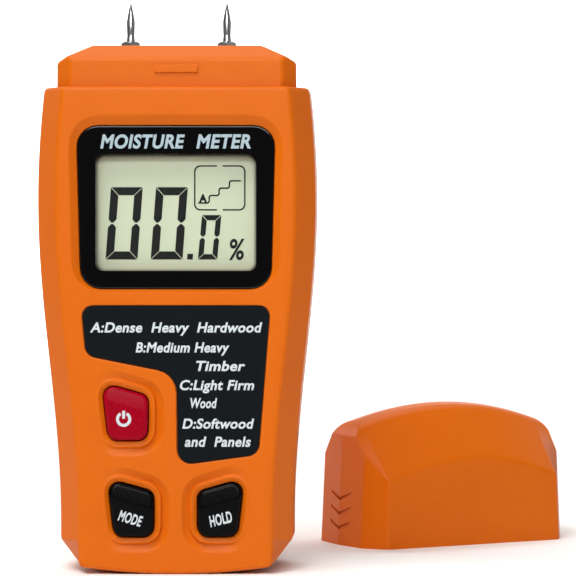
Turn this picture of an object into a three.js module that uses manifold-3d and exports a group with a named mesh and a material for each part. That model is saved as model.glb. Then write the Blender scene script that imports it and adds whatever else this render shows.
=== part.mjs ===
// A two-pin moisture meter with its pin cap taken off and stood beside it.
// Units are millimetres, +Z up. The meter stands on its lower end with its display facing -Y.
// Inside the meter group x = 0 is its middle, y = 0 the plane where the two shells part, z = 0 its lowest point.
import * as THREE from "three";
import { mergeVertices } from "three/addons/utils/BufferGeometryUtils.js";
import Module from "manifold-3d";

const wasm = await Module();
wasm.setup();

// ---------- driving dimensions ----------

// Housing, in the front view
const SHOULDER_Z = 102.6; // top of the wide body
const WIDEST_Z = 0.77 * SHOULDER_Z;
const WAIST_Z = 10;
const WIDEST_HALF = 30;
const WAIST_HALF = 25.1;
const SHOULDER_HALF = 28.6;
const CORNER_CUT_Z = 7; // where the side ends and the slanted lower corner starts
const CHIN_HALF = 20.4; // half the width of the curved lower end
const CHIN_RISE = 1.5; // how far the lower end curves up at its corners

// Housing, in the side view
const HALF_DEPTH = 15;
const EDGE_WIDTH = 4.9; // long bevels beside the front and back faces
const EDGE_DEPTH = 5.5;
const SIDE_DRAFT = 0.5; // sides lean in by this much from the parting plane
const WALL = 2;
const PARTING_GAP = 0.3;
const LIP = 0.8; // tongue inside the parting line
const LIP_HEIGHT = 1.6;

// Neck that carries the pins and takes the cap
const NECK_TOP_Z = SHOULDER_Z + 9.2;
const NECK_HALF = 25.4;
const NECK_HALF_DEPTH = HALF_DEPTH - 2;
const NECK_EDGE = 3; // upright bevels
const NECK_SLOPE_WIDTH = 7.4; // slanted upper corners, in the front view
const NECK_SLOPE_DROP = 3.8;
const NECK_BEVEL_DEPTH = 4.5; // long upper bevels, in the side view
const NECK_BEVEL_DROP = 3.2;
const CATCH_LENGTH = 9.3; // bar that the cap snaps over
const CATCH_HEIGHT = 1.7;
const CATCH_PROUD = 0.5;
const CATCH_Z = SHOULDER_Z + 3.8;

// Electrode pins and the brass inserts that they screw into
const PIN_SPACING = 20.8;
const PIN_TIP_Z = NECK_TOP_Z + 10.3;
const PIN_CONE = 4.4;
const PIN_RADIUS = 0.85;
const PIN_SHOULDER_RADIUS = 0.98;
const COLLAR_ACROSS_FLATS = 4;
const COLLAR_HEIGHT = 2.1;
const THREAD_RADIUS = 1.2;
const THREAD_LENGTH = 10;
const THREAD_CLEARANCE = 0.25;
const INSERT_RADIUS = 2.4;
const INSERT_FLANGE_RADIUS = 3;
const INSERT_FLANGE = 1.8;
const INSERT_LENGTH = 11;
const LEAD_RADIUS = 0.45;

// Display
const LENS_TOP_Z = SHOULDER_Z - 8.3;
const LENS_BOTTOM_Z = LENS_TOP_Z - 34.3;
const LENS_HALF_TOP = 20.9;
const LENS_HALF_BOTTOM = 20;
const LENS_CORNER = 4.4;
const LENS_THICKNESS = 1.5;
const RECESS_DEPTH = 1.2;
const RECESS_SIDE = 1.6; // width of the sloping border around the lens
const RECESS_TOP = 2.1;
const RECESS_BOTTOM = 0.7;
const WINDOW_HALF = 17.6; // opening behind the lens
const WINDOW_BOTTOM_Z = LENS_BOTTOM_Z + 3;
const WINDOW_TOP_Z = LENS_TOP_Z - 5.5;
const SEAT_MARGIN = 2; // wall of the pocket that holds the lens
const LEDGE = 1.4; // what the lens is bonded to
const GLASS_HALF = 19;
const GLASS_MARGIN = 2.2; // glass beyond the opening, above and below
const GLASS_THICKNESS = 2;
const HOLDER_WALL = 1.3;
const ZEBRA_WIDTH = 2;

// Legend label
const LABEL_THICKNESS = 0.35;
const LABEL_POCKET = 0.5;

// Buttons, and the tactile switches under them
const BUTTON_PROUD = 0.75;
const BUTTON_CLEARANCE = 0.3;
const BUTTON_CORNER = 2.1;
const BUTTON_SLOPE = 0.55; // how far the upper part of the face drops back
const BUTTON_FLANGE = 0.9;
const BUTTON_FLANGE_THICKNESS = 1;
const BUTTON_STEM_RADIUS = 1.6;
const BUTTON_TRAVEL = 0.5;
const RIM_WIDTH = 1.2; // raised ring around each button
const RIM_PROUD = 0.12;
const DISH_WIDTH = 2.8; // hollow around the ring
const DISH_DEPTH = 0.9;
const SWITCH_SIZE = 6;
const SWITCH_HEIGHT = 3.4;
const PLUNGER_RADIUS = 1.7;
const PLUNGER_PROUD = 0.45;

// Circuit board
const BOARD_THICKNESS = 1.6;
const BOARD_TOP_Z = SHOULDER_Z - 9.6;
const BOARD_BOTTOM_Z = 7.5;
const BOARD_STEP_Z = 46; // wide above, narrow below
const BOARD_HALF_WIDE = 21.5;
const BOARD_HALF_NARROW = 17.5;
const BOARD_HALF_TAIL = 13.6; // between the lower screw posts
const BOARD_TAIL_Z = 12;

// Battery bay, for two AAA cells
const CELL_RADIUS = 5.25;
const CELL_LENGTH = 44.5;
const CELL_NUB_RADIUS = 1.9;
const CELL_NUB = 0.9;
const CELL_CLEARANCE = 0.35;
const BAY_BOTTOM_Z = 12.6;
const BAY_WALL = 1.2;
const CONTACT_THICKNESS = 0.4;
const SPRING_LENGTH = 3.3;
const SPRING_WIRE = 0.3;
const SPRING_TURNS = 3;
const COVER_MARGIN = 1.6; // cover beyond the bay, all round
const COVER_CLEARANCE = 0.3;
const COVER_SUNK = 0.1;
const COVER_LEDGE = 1.1;
const COVER_CORNER = 2;
const HOOK_FROM_BAY_SIDE = 1.2;
const HOOK_WIDTH = 4;
const HOOK_REACH = 1.3;
const HOOK_PLAY = 0.1;

// Screws
const CASE_SCREW_UPPER = { x: 20.5, z: SHOULDER_Z - 5.3 };
const CASE_SCREW_LOWER = { x: 17, z: 8 };
const CASE_SCREW_HEAD_RADIUS = 2.1;
const CASE_SCREW_HEAD = 1.5;
const CASE_SCREW_RADIUS = 1.1;
const CASE_SCREW_LENGTH = 10.5;
const CASE_SCREW_SEAT_Y = 4.5; // bottom of the well in the back shell
const CASE_WELL_RADIUS = 2.5;
const CASE_POST_RADIUS = 2.9;
const BOARD_SCREW_UPPER = { x: 18.3, z: LENS_BOTTOM_Z - 4.4 };
const BOARD_SCREW_LOWER = { x: 14.6, z: 24.4 };
const BOARD_SCREW_HEAD_RADIUS = 1.7;
const BOARD_SCREW_HEAD = 1;
const BOARD_SCREW_RADIUS = 0.9;
const BOARD_SCREW_LENGTH = 6;
const BOARD_POST_RADIUS = 2.2;
const SCREW_CLEARANCE = 0.25;
const CROSS_WIDTH = 0.5; // arms of the drive recess

// Pin cap
const CAP_HEIGHT = 33;
const CAP_END_DROP = 5.5; // how much lower the crown is at the ends
const CAP_WALL_HEIGHT = 20.4; // upright front wall, in the middle
const CAP_WALL_END_DROP = 7.5;
const CAP_CROWN_HALF = 4.5; // half the width of the crown strip
const CAP_END_ROUND = 6; // rounding from the crown into the ends
const CAP_TAPER = 1.6; // ends lean in by this much over the height
const CAP_WALL = 1.5;
const CAP_FIT = 0.35; // clearance around the neck
const GRIP_LINES = 3;
const GRIP_PITCH = 3.4;
const GRIP_HALF = 4.6;
const GRIP_DIP = 1.5;
const GRIP_WIDTH = 0.7;
const GRIP_DEPTH = 0.5;
const GRIP_FIRST_Z = 3.6;

// Where the cap stands
const CAP_PLACE = { x: 60.5, y: 55 };
const CAP_YAW = 28; // degrees

const HAIR = 0.05; // gap between faces that rest on each other
const ARC_STEPS = 5; // steps in a rounded corner

// ---------- colours ----------

const finish = (color, roughness, metalness = 0) => new THREE.MeshStandardMaterial({ color, roughness, metalness });
const ORANGE = finish(0xe8742c, 0.5);
const BLACK_GLOSS = finish(0x08090a, 0.15);
const BLACK_MATTE = finish(0x16191c, 0.6);
const RED = finish(0xb00522, 0.4);
const STEEL = finish(0xb9bcbc, 0.25, 1);
const BRASS = finish(0xc9a24a, 0.35, 1);
const NICKEL = finish(0xb8b8b4, 0.3, 1);
const LCD_GREEN = finish(0xbdc8ac, 0.3);
const BOARD_GREEN = finish(0x1c6b3c, 0.5);
const DARK_PART = finish(0x202020, 0.6);
const WHITE_PLASTIC = finish(0xdcdcd6, 0.6);
const CELL_JACKET = finish(0x27364a, 0.35);

// ---------- making and combining solids ----------

// A closed geometry as a solid that can be joined and cut
function solid(geometry) {
  const bare = geometry.index ? geometry.toNonIndexed() : geometry.clone();
  bare.deleteAttribute("normal");
  bare.deleteAttribute("uv");
  const merged = mergeVertices(bare, 1e-4);
  return new wasm.Manifold(new wasm.Mesh({
    numProp: 3,
    vertProperties: merged.attributes.position.array,
    triVerts: new Uint32Array(merged.index.array),
  }));
}

function geometryOf(made) {
  const mesh = made.getMesh();
  return new THREE.BufferGeometry()
    .setAttribute("position", new THREE.BufferAttribute(mesh.vertProperties, 3))
    .setIndex(new THREE.BufferAttribute(mesh.triVerts, 1))
    .toNonIndexed();
}

// A shape drawn as (x, z), pushed along Y from one depth to another
function slabY(shape, yFrom, yTo, curveSegments = ARC_STEPS) {
  const slab = new THREE.ExtrudeGeometry(shape, { depth: yTo - yFrom, bevelEnabled: false, curveSegments });
  return solid(slab.rotateX(Math.PI / 2).translate(0, yTo, 0));
}

// A shape drawn as (x, y), pushed along Z
function slabZ(shape, zFrom, zTo, curveSegments = ARC_STEPS) {
  const slab = new THREE.ExtrudeGeometry(shape, { depth: zTo - zFrom, bevelEnabled: false, curveSegments });
  return solid(slab.translate(0, 0, zFrom));
}

// A shape drawn as (y, z), pushed along X
function slabX(shape, xFrom, xTo, curveSegments = ARC_STEPS) {
  const slab = new THREE.ExtrudeGeometry(shape, { depth: xTo - xFrom, bevelEnabled: false, curveSegments });
  const turn = new THREE.Matrix4().makeBasis(
    new THREE.Vector3(0, 1, 0), new THREE.Vector3(0, 0, 1), new THREE.Vector3(1, 0, 0));
  return solid(slab.applyMatrix4(turn).translate(xFrom, 0, 0));
}

// A box from its lowest to its highest corner
function box(xFrom, xTo, yFrom, yTo, zFrom, zTo) {
  const block = new THREE.BoxGeometry(xTo - xFrom, yTo - yFrom, zTo - zFrom);
  return solid(block.translate((xFrom + xTo) / 2, (yFrom + yTo) / 2, (zFrom + zTo) / 2));
}

// A profile of [radius, position] points from low to high, closed by the axis, spun about that axis
const lathe = (profile, steps) =>
  new THREE.LatheGeometry(profile.map(([radius, along]) => new THREE.Vector2(radius, along)), steps);

const turned = (profile, x = 0, y = 0, steps = 24) =>
  solid(lathe(profile, steps).rotateX(Math.PI / 2).translate(x, y, 0));

const turnedY = (profile, x, z, steps = 20) => solid(lathe(profile, steps).translate(x, 0, z));

const rodY = (radius, yFrom, yTo, x, z, steps) =>
  turnedY([[0, yFrom], [radius, yFrom], [radius, yTo], [0, yTo]], x, z, steps);

// A closed outline with each [x, z, radius] corner rounded
function rounded(corners) {
  const shape = new THREE.Shape();
  corners.forEach(([x, z, radius], i) => {
    const corner = new THREE.Vector2(x, z);
    const before = new THREE.Vector2(...corners.at(i - 1).slice(0, 2)).sub(corner).normalize();
    const after = new THREE.Vector2(...corners[(i + 1) % corners.length].slice(0, 2)).sub(corner).normalize();
    const reach = radius / Math.tan(before.angleTo(after) / 2);
    const start = before.multiplyScalar(reach).add(corner);
    const end = after.multiplyScalar(reach).add(corner);
    if (i === 0) shape.moveTo(start.x, start.y);
    else shape.lineTo(start.x, start.y);
    shape.quadraticCurveTo(x, z, end.x, end.y);
  });
  shape.closePath();
  return shape;
}

const roundedBox = (xFrom, xTo, zFrom, zTo, radius) =>
  rounded([[xFrom, zFrom, radius], [xTo, zFrom, radius], [xTo, zTo, radius], [xFrom, zTo, radius]]);

// Corners moved outwards by the same distance on every side; corners run anticlockwise
function grown(corners, distance) {
  return corners.map(([x, z, radius], i) => {
    const [xBefore, zBefore] = corners.at(i - 1);
    const [xAfter, zAfter] = corners[(i + 1) % corners.length];
    const into = new THREE.Vector2(x - xBefore, z - zBefore).normalize();
    const out = new THREE.Vector2(xAfter - x, zAfter - z).normalize();
    const share = distance / (1 + into.dot(out));
    return [x + (into.y + out.y) * share, z - (into.x + out.x) * share, Math.max(radius + distance, 0.3)];
  });
}

// Rings of [x, y, z] points, all the same length, skinned and closed at both ends
function loft(rings, flatten) {
  const count = rings[0].length;
  const positions = [];
  const push = (...points) => points.forEach((point) => positions.push(...point));
  for (let r = 0; r + 1 < rings.length; r += 1) {
    for (let i = 0; i < count; i += 1) {
      const j = (i + 1) % count;
      push(rings[r][i], rings[r][j], rings[r + 1][j], rings[r][i], rings[r + 1][j], rings[r + 1][i]);
    }
  }
  const close = (ring, reversed) => {
    const flat = ring.map((point) => new THREE.Vector2(...flatten(point)));
    for (const [a, b, c] of THREE.ShapeUtils.triangulateShape(flat, [])) {
      if (reversed) push(ring[c], ring[b], ring[a]);
      else push(ring[a], ring[b], ring[c]);
    }
  };
  close(rings[0], true);
  close(rings.at(-1), false);
  const skin = new THREE.BufferGeometry();
  skin.setAttribute("position", new THREE.Float32BufferAttribute(positions, 3));
  return solid(skin);
}

// Outlines drawn as (x, z) at several depths, from the back to the front
const loftY = (sections) => loft(
  sections.map(({ y, outline }) => outline.map(([x, z]) => [x, y, z])), ([x, , z]) => [x, z]);

const merge = (...solids) => solids.reduce((all, next) => all.add(next));
const cut = (from, ...tools) => tools.reduce((left, tool) => left.subtract(tool), from);
const mirrored = (make) => [make(-1), make(1)];

const meter = new THREE.Group();
const cap = new THREE.Group();

function part(group, name, made, material) {
  const mesh = new THREE.Mesh(geometryOf(made), material);
  mesh.name = name;
  group.add(mesh);
}

// ---------- the outer form of the housing ----------

// Half the housing's width at a height
function sideHalf(z) {
  if (z >= WIDEST_Z) {
    const share = (z - WIDEST_Z) / (SHOULDER_Z - WIDEST_Z);
    return WIDEST_HALF - (WIDEST_HALF - SHOULDER_HALF) * share ** 2;
  }
  const share = Math.min((WIDEST_Z - z) / (WIDEST_Z - WAIST_Z), 1);
  return WAIST_HALF + (WIDEST_HALF - WAIST_HALF) * (1 + Math.cos(Math.PI * share)) / 2;
}

// The front view's outline, anticlockwise seen from the front, drawn in on the sides and ends
function housingOutline(sideInset, endInset, beyondCorner = 0) {
  const chin = [];
  const steps = 12;
  const chinHalf = CHIN_HALF - endInset / 2;
  for (let i = 0; i <= steps; i += 1) {
    const x = chinHalf * (2 * i / steps - 1);
    chin.push([x, endInset + CHIN_RISE * (x / CHIN_HALF) ** 2]);
  }
  const side = [];
  const sideSteps = 16;
  for (let i = 0; i <= sideSteps; i += 1) {
    const z = CORNER_CUT_Z + endInset / 2 + (SHOULDER_Z - endInset - CORNER_CUT_Z - endInset / 2) * i / sideSteps;
    side.push([sideHalf(z) - sideInset, z]);
  }
  const limit = sideHalf(CORNER_CUT_Z) - sideInset - beyondCorner;
  const clamped = chin.map(([x, z]) => [Math.max(-limit, Math.min(limit, x)), z]);
  return [...clamped, ...side, ...side.map(([x, z]) => [-x, z]).reverse()];
}

// The body between its flat front and back, inset by a wall; half picks the side towards -Y or +Y
function housingForm(inset) {
  const end = HALF_DEPTH - inset;
  const edge = HALF_DEPTH - EDGE_DEPTH - inset / 2;
  const face = housingOutline(EDGE_WIDTH + inset, inset);
  const bevel = housingOutline(SIDE_DRAFT + inset, inset);
  const middle = housingOutline(inset, inset);
  return loftY([
    { y: end, outline: face },
    { y: edge, outline: bevel },
    { y: 0, outline: middle },
    { y: -edge, outline: bevel },
    { y: -end, outline: face },
  ]);
}

// The neck: where its front view, plan and side view meet, drawn in by a wall
function neckForm(inset, zFrom) {
  const half = NECK_HALF - inset;
  const depth = NECK_HALF_DEPTH - inset;
  const top = NECK_TOP_Z - inset;
  const front = new THREE.Shape([
    [-half, zFrom], [half, zFrom], [half, top - NECK_SLOPE_DROP],
    [half - NECK_SLOPE_WIDTH, top], [-half + NECK_SLOPE_WIDTH, top], [-half, top - NECK_SLOPE_DROP],
  ].map(([x, z]) => new THREE.Vector2(x, z)));
  const side = new THREE.Shape([
    [-depth, zFrom], [depth, zFrom], [depth, top - NECK_BEVEL_DROP],
    [depth - NECK_BEVEL_DEPTH, top], [-depth + NECK_BEVEL_DEPTH, top], [-depth, top - NECK_BEVEL_DROP],
  ].map(([y, z]) => new THREE.Vector2(y, z)));
  return slabY(front, -depth, depth)
    .intersect(slabX(side, -half, half))
    .intersect(slabZ(octagon(half, depth, NECK_EDGE, NECK_EDGE), zFrom, top));
}

function octagon(half, depth, alongX, alongY) {
  return new THREE.Shape([
    [-half + alongX, -depth], [half - alongX, -depth], [half, -depth + alongY], [half, depth - alongY],
    [half - alongX, depth], [-half + alongX, depth], [-half, depth - alongY], [-half, -depth + alongY],
  ].map(([x, y]) => new THREE.Vector2(x, y)));
}

const FAR = 200;
const frontHalf = box(-FAR, FAR, -FAR, -PARTING_GAP / 2, -FAR, FAR);
const backHalf = box(-FAR, FAR, PARTING_GAP / 2, FAR, -FAR, FAR);
const housing = merge(housingForm(0), neckForm(0, SHOULDER_Z - WALL));
const hollow = merge(housingForm(WALL), neckForm(WALL, SHOULDER_Z - 2 * WALL));
const casing = cut(housing, hollow);

// ---------- depths, from the front to the back ----------

const FRONT_Y = -HALF_DEPTH;
const FRONT_INSIDE_Y = FRONT_Y + WALL;
const LENS_FRONT_Y = FRONT_Y + RECESS_DEPTH;
const LENS_BACK_Y = LENS_FRONT_Y + LENS_THICKNESS;
const LEDGE_BACK_Y = LENS_BACK_Y + HAIR + LEDGE;
const GLASS_FRONT_Y = LEDGE_BACK_Y + COVER_CLEARANCE;
const GLASS_BACK_Y = GLASS_FRONT_Y + GLASS_THICKNESS;
const BOARD_FRONT_Y = GLASS_BACK_Y + 2.4;
const BOARD_BACK_Y = BOARD_FRONT_Y + BOARD_THICKNESS;
const BAY_FLOOR_Y = 0.2;
const BACK_Y = HALF_DEPTH;
const BACK_INSIDE_Y = BACK_Y - WALL;

// ---------- display ----------

const lensCorners = [
  [-LENS_HALF_BOTTOM, LENS_BOTTOM_Z, LENS_CORNER],
  [LENS_HALF_BOTTOM, LENS_BOTTOM_Z, LENS_CORNER],
  [LENS_HALF_TOP, LENS_TOP_Z, LENS_CORNER],
  [-LENS_HALF_TOP, LENS_TOP_Z, LENS_CORNER],
];
const recessCorners = [
  [-LENS_HALF_BOTTOM - RECESS_SIDE, LENS_BOTTOM_Z - RECESS_BOTTOM, LENS_CORNER + RECESS_SIDE],
  [LENS_HALF_BOTTOM + RECESS_SIDE, LENS_BOTTOM_Z - RECESS_BOTTOM, LENS_CORNER + RECESS_SIDE],
  [LENS_HALF_TOP + RECESS_SIDE, LENS_TOP_Z + RECESS_TOP, LENS_CORNER + RECESS_SIDE],
  [-LENS_HALF_TOP - RECESS_SIDE, LENS_TOP_Z + RECESS_TOP, LENS_CORNER + RECESS_SIDE],
];
const outlinePoints = (corners) => rounded(corners).getPoints(ARC_STEPS).slice(0, -1).map(({ x, y }) => [x, y]);

function displayRecess() {
  const pocket = grown(lensCorners, COVER_CLEARANCE / 2);
  const slope = loftY([
    { y: LENS_FRONT_Y, outline: outlinePoints(pocket) },
    { y: FRONT_Y - HAIR, outline: outlinePoints(recessCorners) },
  ]);
  const seat = slabY(rounded(pocket), LENS_FRONT_Y - HAIR, LENS_BACK_Y + HAIR);
  const window = slabY(
    roundedBox(-WINDOW_HALF, WINDOW_HALF, WINDOW_BOTTOM_Z, WINDOW_TOP_Z, 1), LENS_BACK_Y - HAIR, LEDGE_BACK_Y + HAIR);
  return merge(slope, seat, window);
}

const GLASS_BOTTOM_Z = WINDOW_BOTTOM_Z - GLASS_MARGIN;
const GLASS_TOP_Z = WINDOW_TOP_Z + GLASS_MARGIN;

function displayHolder() {
  const reach = BUTTON_CLEARANCE + HOLDER_WALL;
  const around = box(-GLASS_HALF - reach, GLASS_HALF + reach, GLASS_FRONT_Y, BOARD_FRONT_Y - HAIR,
    GLASS_BOTTOM_Z - reach, GLASS_TOP_Z + reach);
  const well = box(-GLASS_HALF - BUTTON_CLEARANCE, GLASS_HALF + BUTTON_CLEARANCE, GLASS_FRONT_Y - 1, GLASS_BACK_Y + HAIR,
    GLASS_BOTTOM_Z - BUTTON_CLEARANCE, GLASS_TOP_Z + BUTTON_CLEARANCE);
  const zebraReach = ZEBRA_WIDTH + 2 * BUTTON_CLEARANCE;
  const slots = [GLASS_BOTTOM_Z, GLASS_TOP_Z - zebraReach].map((z) =>
    box(-GLASS_HALF + 1, GLASS_HALF - 1, GLASS_FRONT_Y, BOARD_FRONT_Y + 1, z, z + zebraReach));
  return cut(around, well, ...slots);
}

function zebraStrip(zFrom) {
  return box(-GLASS_HALF + 1.5, GLASS_HALF - 1.5, GLASS_BACK_Y + HAIR, BOARD_FRONT_Y - HAIR, zFrom, zFrom + ZEBRA_WIDTH);
}

part(meter, "display_lens", slabY(rounded(lensCorners), LENS_FRONT_Y, LENS_BACK_Y), BLACK_GLOSS);
part(meter, "lcd_glass",
  box(-GLASS_HALF, GLASS_HALF, GLASS_FRONT_Y, GLASS_BACK_Y, GLASS_BOTTOM_Z, GLASS_TOP_Z), LCD_GREEN);
part(meter, "lcd_holder", displayHolder(), WHITE_PLASTIC);
part(meter, "zebra_strip_lower", zebraStrip(GLASS_BOTTOM_Z + BUTTON_CLEARANCE), DARK_PART);
part(meter, "zebra_strip_upper", zebraStrip(GLASS_TOP_Z - BUTTON_CLEARANCE - ZEBRA_WIDTH), DARK_PART);

// ---------- legend label ----------

const LABEL_TOP_Z = LENS_BOTTOM_Z - 3.6;
const labelCorners = [
  [0.4, 22.9, 3], [17.4, 25.2, 2.6], [19.9, LABEL_TOP_Z, 2], [-19.8, LABEL_TOP_Z, 2], [-18.9, 46, 2.6], [0.2, 42.2, 5],
];

part(meter, "legend_label",
  slabY(rounded(labelCorners), FRONT_Y + LABEL_POCKET - LABEL_THICKNESS - HAIR, FRONT_Y + LABEL_POCKET - HAIR),
  BLACK_MATTE);

// ---------- buttons and their switches ----------

// Corners of a button on the left, relative to the middle of its switch; a button on the right is its mirror image
const buttonCorners = (x, z, hand) => {
  const corners = [[-3.7, -5.5], [4.5, -5.5], [4.6, 3.8], [-5.1, 6.5]].map(([u, v]) => [x + hand * u, z + v, BUTTON_CORNER]);
  return hand > 0 ? corners : corners.reverse();
};
const buttons = {
  power: { x: -10.4, z: 33.7, hand: 1, material: RED },
  mode: { x: -9.2, z: 13.5, hand: 1, material: BLACK_GLOSS },
  hold: { x: 9.2, z: 13.5, hand: -1, material: BLACK_GLOSS },
};
const BUTTON_FRONT_Y = FRONT_Y - BUTTON_PROUD;
const FLANGE_FRONT_Y = FRONT_INSIDE_Y + BUTTON_CLEARANCE;
const FLANGE_BACK_Y = FLANGE_FRONT_Y + BUTTON_FLANGE_THICKNESS;
const SWITCH_FRONT_Y = BOARD_FRONT_Y - SWITCH_HEIGHT;
const PLUNGER_FRONT_Y = SWITCH_FRONT_Y - PLUNGER_PROUD;

// The hollow around a button: its floor starts level with the face on the outer side and drops towards the middle
function buttonDish({ x, z, hand }) {
  const outline = rounded(grown(buttonCorners(x, z, hand), DISH_WIDTH));
  const far = 9;
  const floor = new THREE.Shape([
    [x - hand * far, FRONT_Y], [x + hand * far, FRONT_Y + DISH_DEPTH],
    [x + hand * far, FRONT_Y - 1], [x - hand * far, FRONT_Y - 1],
  ].map(([u, v]) => new THREE.Vector2(u, v)));
  return slabY(outline, FRONT_Y - 1, FRONT_Y + 1.5).intersect(slabZ(floor, z - far, z + far));
}

const buttonRim = ({ x, z, hand }) =>
  slabY(rounded(grown(buttonCorners(x, z, hand), RIM_WIDTH)), FRONT_Y - RIM_PROUD, FRONT_INSIDE_Y);

const buttonHole = ({ x, z, hand }) =>
  slabY(rounded(buttonCorners(x, z, hand)), FRONT_Y - 1, FRONT_INSIDE_Y + 0.5);

// The face has a crease: above it the surface slopes back towards the upper edge
function buttonCap({ x, z, hand }) {
  const corners = grown(buttonCorners(x, z, hand), -BUTTON_CLEARANCE);
  const post = slabY(rounded(corners), BUTTON_FRONT_Y, FLANGE_FRONT_Y + 0.2);
  const flange = slabY(rounded(grown(corners, BUTTON_FLANGE)), FLANGE_FRONT_Y, FLANGE_BACK_Y);
  const stem = rodY(BUTTON_STEM_RADIUS, FLANGE_BACK_Y - 0.2, PLUNGER_FRONT_Y - HAIR, x, z);
  const lean = -0.28 * hand; // the crease runs parallel to the slanted upper edge
  const reach = 8;
  const crease = [-reach, reach].map((u) => [x + u, z + 1.8 + lean * u]);
  const [low, high] = crease;
  const wedge = loft([low, high].map(([u, v]) => [
    [u, BUTTON_FRONT_Y, v], [u, BUTTON_FRONT_Y + BUTTON_SLOPE, v + reach],
    [u, BUTTON_FRONT_Y - 1, v + reach], [u, BUTTON_FRONT_Y - 1, v],
  ]), ([, y, v]) => [y, v]);
  return cut(merge(post, flange, stem), wedge);
}

function switchBody({ x, z }) {
  const half = SWITCH_SIZE / 2;
  const body = box(x - half, x + half, SWITCH_FRONT_Y, BOARD_FRONT_Y - HAIR, z - half, z + half);
  const well = rodY(PLUNGER_RADIUS + BUTTON_CLEARANCE, SWITCH_FRONT_Y - 1, SWITCH_FRONT_Y + 2.2, x, z);
  return cut(body, well);
}

for (const [name, button] of Object.entries(buttons)) {
  part(meter, `${name}_button`, buttonCap(button), button.material);
  part(meter, `${name}_switch`, switchBody(button), NICKEL);
  part(meter, `${name}_switch_plunger`,
    rodY(PLUNGER_RADIUS, PLUNGER_FRONT_Y, SWITCH_FRONT_Y + 2.2 - BUTTON_TRAVEL - BUTTON_CLEARANCE, button.x, button.z),
    DARK_PART);
}

// ---------- screws ----------

// A pan head and a plain shank along Y, head towards +Y, with a cross recess
function screw(headRadius, headHeight, radius, length, seatY) {
  return ({ x, z }) => {
    const body = turnedY([
      [0, seatY - length], [radius * 0.4, seatY - length], [radius, seatY - length + radius],
      [radius, seatY], [headRadius, seatY], [headRadius, seatY + headHeight * 0.5],
      [headRadius * 0.7, seatY + headHeight], [0, seatY + headHeight],
    ], x, z, 16);
    const arm = headRadius * 0.55;
    const half = CROSS_WIDTH / 2;
    const floor = seatY + headHeight * 0.45;
    return cut(body,
      box(x - arm, x + arm, floor, seatY + 3, z - half, z + half),
      box(x - half, x + half, floor, seatY + 3, z - arm, z + arm));
  };
}

const onBothSides = ({ x, z }) => [{ x: -x, z }, { x, z }];
const caseScrews = [...onBothSides(CASE_SCREW_UPPER), ...onBothSides(CASE_SCREW_LOWER)];
const boardScrews = [...onBothSides(BOARD_SCREW_UPPER), ...onBothSides(BOARD_SCREW_LOWER)];
const caseScrew = screw(
  CASE_SCREW_HEAD_RADIUS, CASE_SCREW_HEAD, CASE_SCREW_RADIUS, CASE_SCREW_LENGTH, CASE_SCREW_SEAT_Y + HAIR);
const boardScrew = screw(
  BOARD_SCREW_HEAD_RADIUS, BOARD_SCREW_HEAD, BOARD_SCREW_RADIUS, BOARD_SCREW_LENGTH, BOARD_BACK_Y + HAIR);
caseScrews.forEach((place, i) => part(meter, `case_screw_${i + 1}`, caseScrew(place), STEEL));
boardScrews.forEach((place, i) => part(meter, `board_screw_${i + 1}`, boardScrew(place), STEEL));

// ---------- pins, inserts and leads ----------

const PIN_THREAD_Z = NECK_TOP_Z - THREAD_LENGTH;
const INSERT_TOP_Z = NECK_TOP_Z - WALL - HAIR;
const INSERT_BOTTOM_Z = INSERT_TOP_Z - INSERT_LENGTH;
const SADDLE_Z = SHOULDER_Z + 0.4; // rib that holds the inserts

function electrodePin(x) {
  const seat = NECK_TOP_Z + HAIR;
  const shaftZ = seat + COLLAR_HEIGHT;
  const stem = turned([
    [0, PIN_THREAD_Z], [THREAD_RADIUS * 0.7, PIN_THREAD_Z], [THREAD_RADIUS, PIN_THREAD_Z + 0.5],
    [THREAD_RADIUS, seat + 0.5], [PIN_RADIUS, shaftZ - 0.3], [PIN_SHOULDER_RADIUS, PIN_TIP_Z - PIN_CONE], [0, PIN_TIP_Z],
  ], x, 0, 20);
  const across = COLLAR_ACROSS_FLATS / Math.sqrt(3);
  const collar = solid(new THREE.CylinderGeometry(across, across, COLLAR_HEIGHT, 6)
    .rotateX(Math.PI / 2).translate(x, 0, seat + COLLAR_HEIGHT / 2));
  const chamfer = turned([
    [0, seat - 0.1], [across + 0.1, seat - 0.1], [across + 0.1, shaftZ - 0.55],
    [across * 0.72, shaftZ], [0, shaftZ],
  ], x, 0, 24);
  return merge(stem, collar.intersect(chamfer));
}

const brassInsert = (x) => turned([
  [0, INSERT_BOTTOM_Z], [INSERT_RADIUS, INSERT_BOTTOM_Z], [INSERT_RADIUS, INSERT_TOP_Z - INSERT_FLANGE],
  [INSERT_FLANGE_RADIUS, INSERT_TOP_Z - INSERT_FLANGE], [INSERT_FLANGE_RADIUS, INSERT_TOP_Z],
  [THREAD_RADIUS + THREAD_CLEARANCE, INSERT_TOP_Z], [THREAD_RADIUS + THREAD_CLEARANCE, PIN_THREAD_Z - 0.5],
  [0, PIN_THREAD_Z - 0.5],
], x, 0, 20);

// A stiff wire from under the insert to the back of the board
function pinLead(x) {
  const top = INSERT_BOTTOM_Z - BUTTON_CLEARANCE;
  const route = new THREE.CatmullRomCurve3([
    [x, 0, top], [x, -0.3, top - 2.5], [x, -1.6, top - 5], [x, BOARD_BACK_Y + 1.1, top - 7.4],
    [x, BOARD_BACK_Y + 0.6, top - 9.4],
  ].map((point) => new THREE.Vector3(...point)));
  const section = new THREE.Shape().absarc(0, 0, LEAD_RADIUS, 0, 2 * Math.PI);
  return solid(new THREE.ExtrudeGeometry(section, { steps: 12, curveSegments: 4, extrudePath: route }));
}

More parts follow.
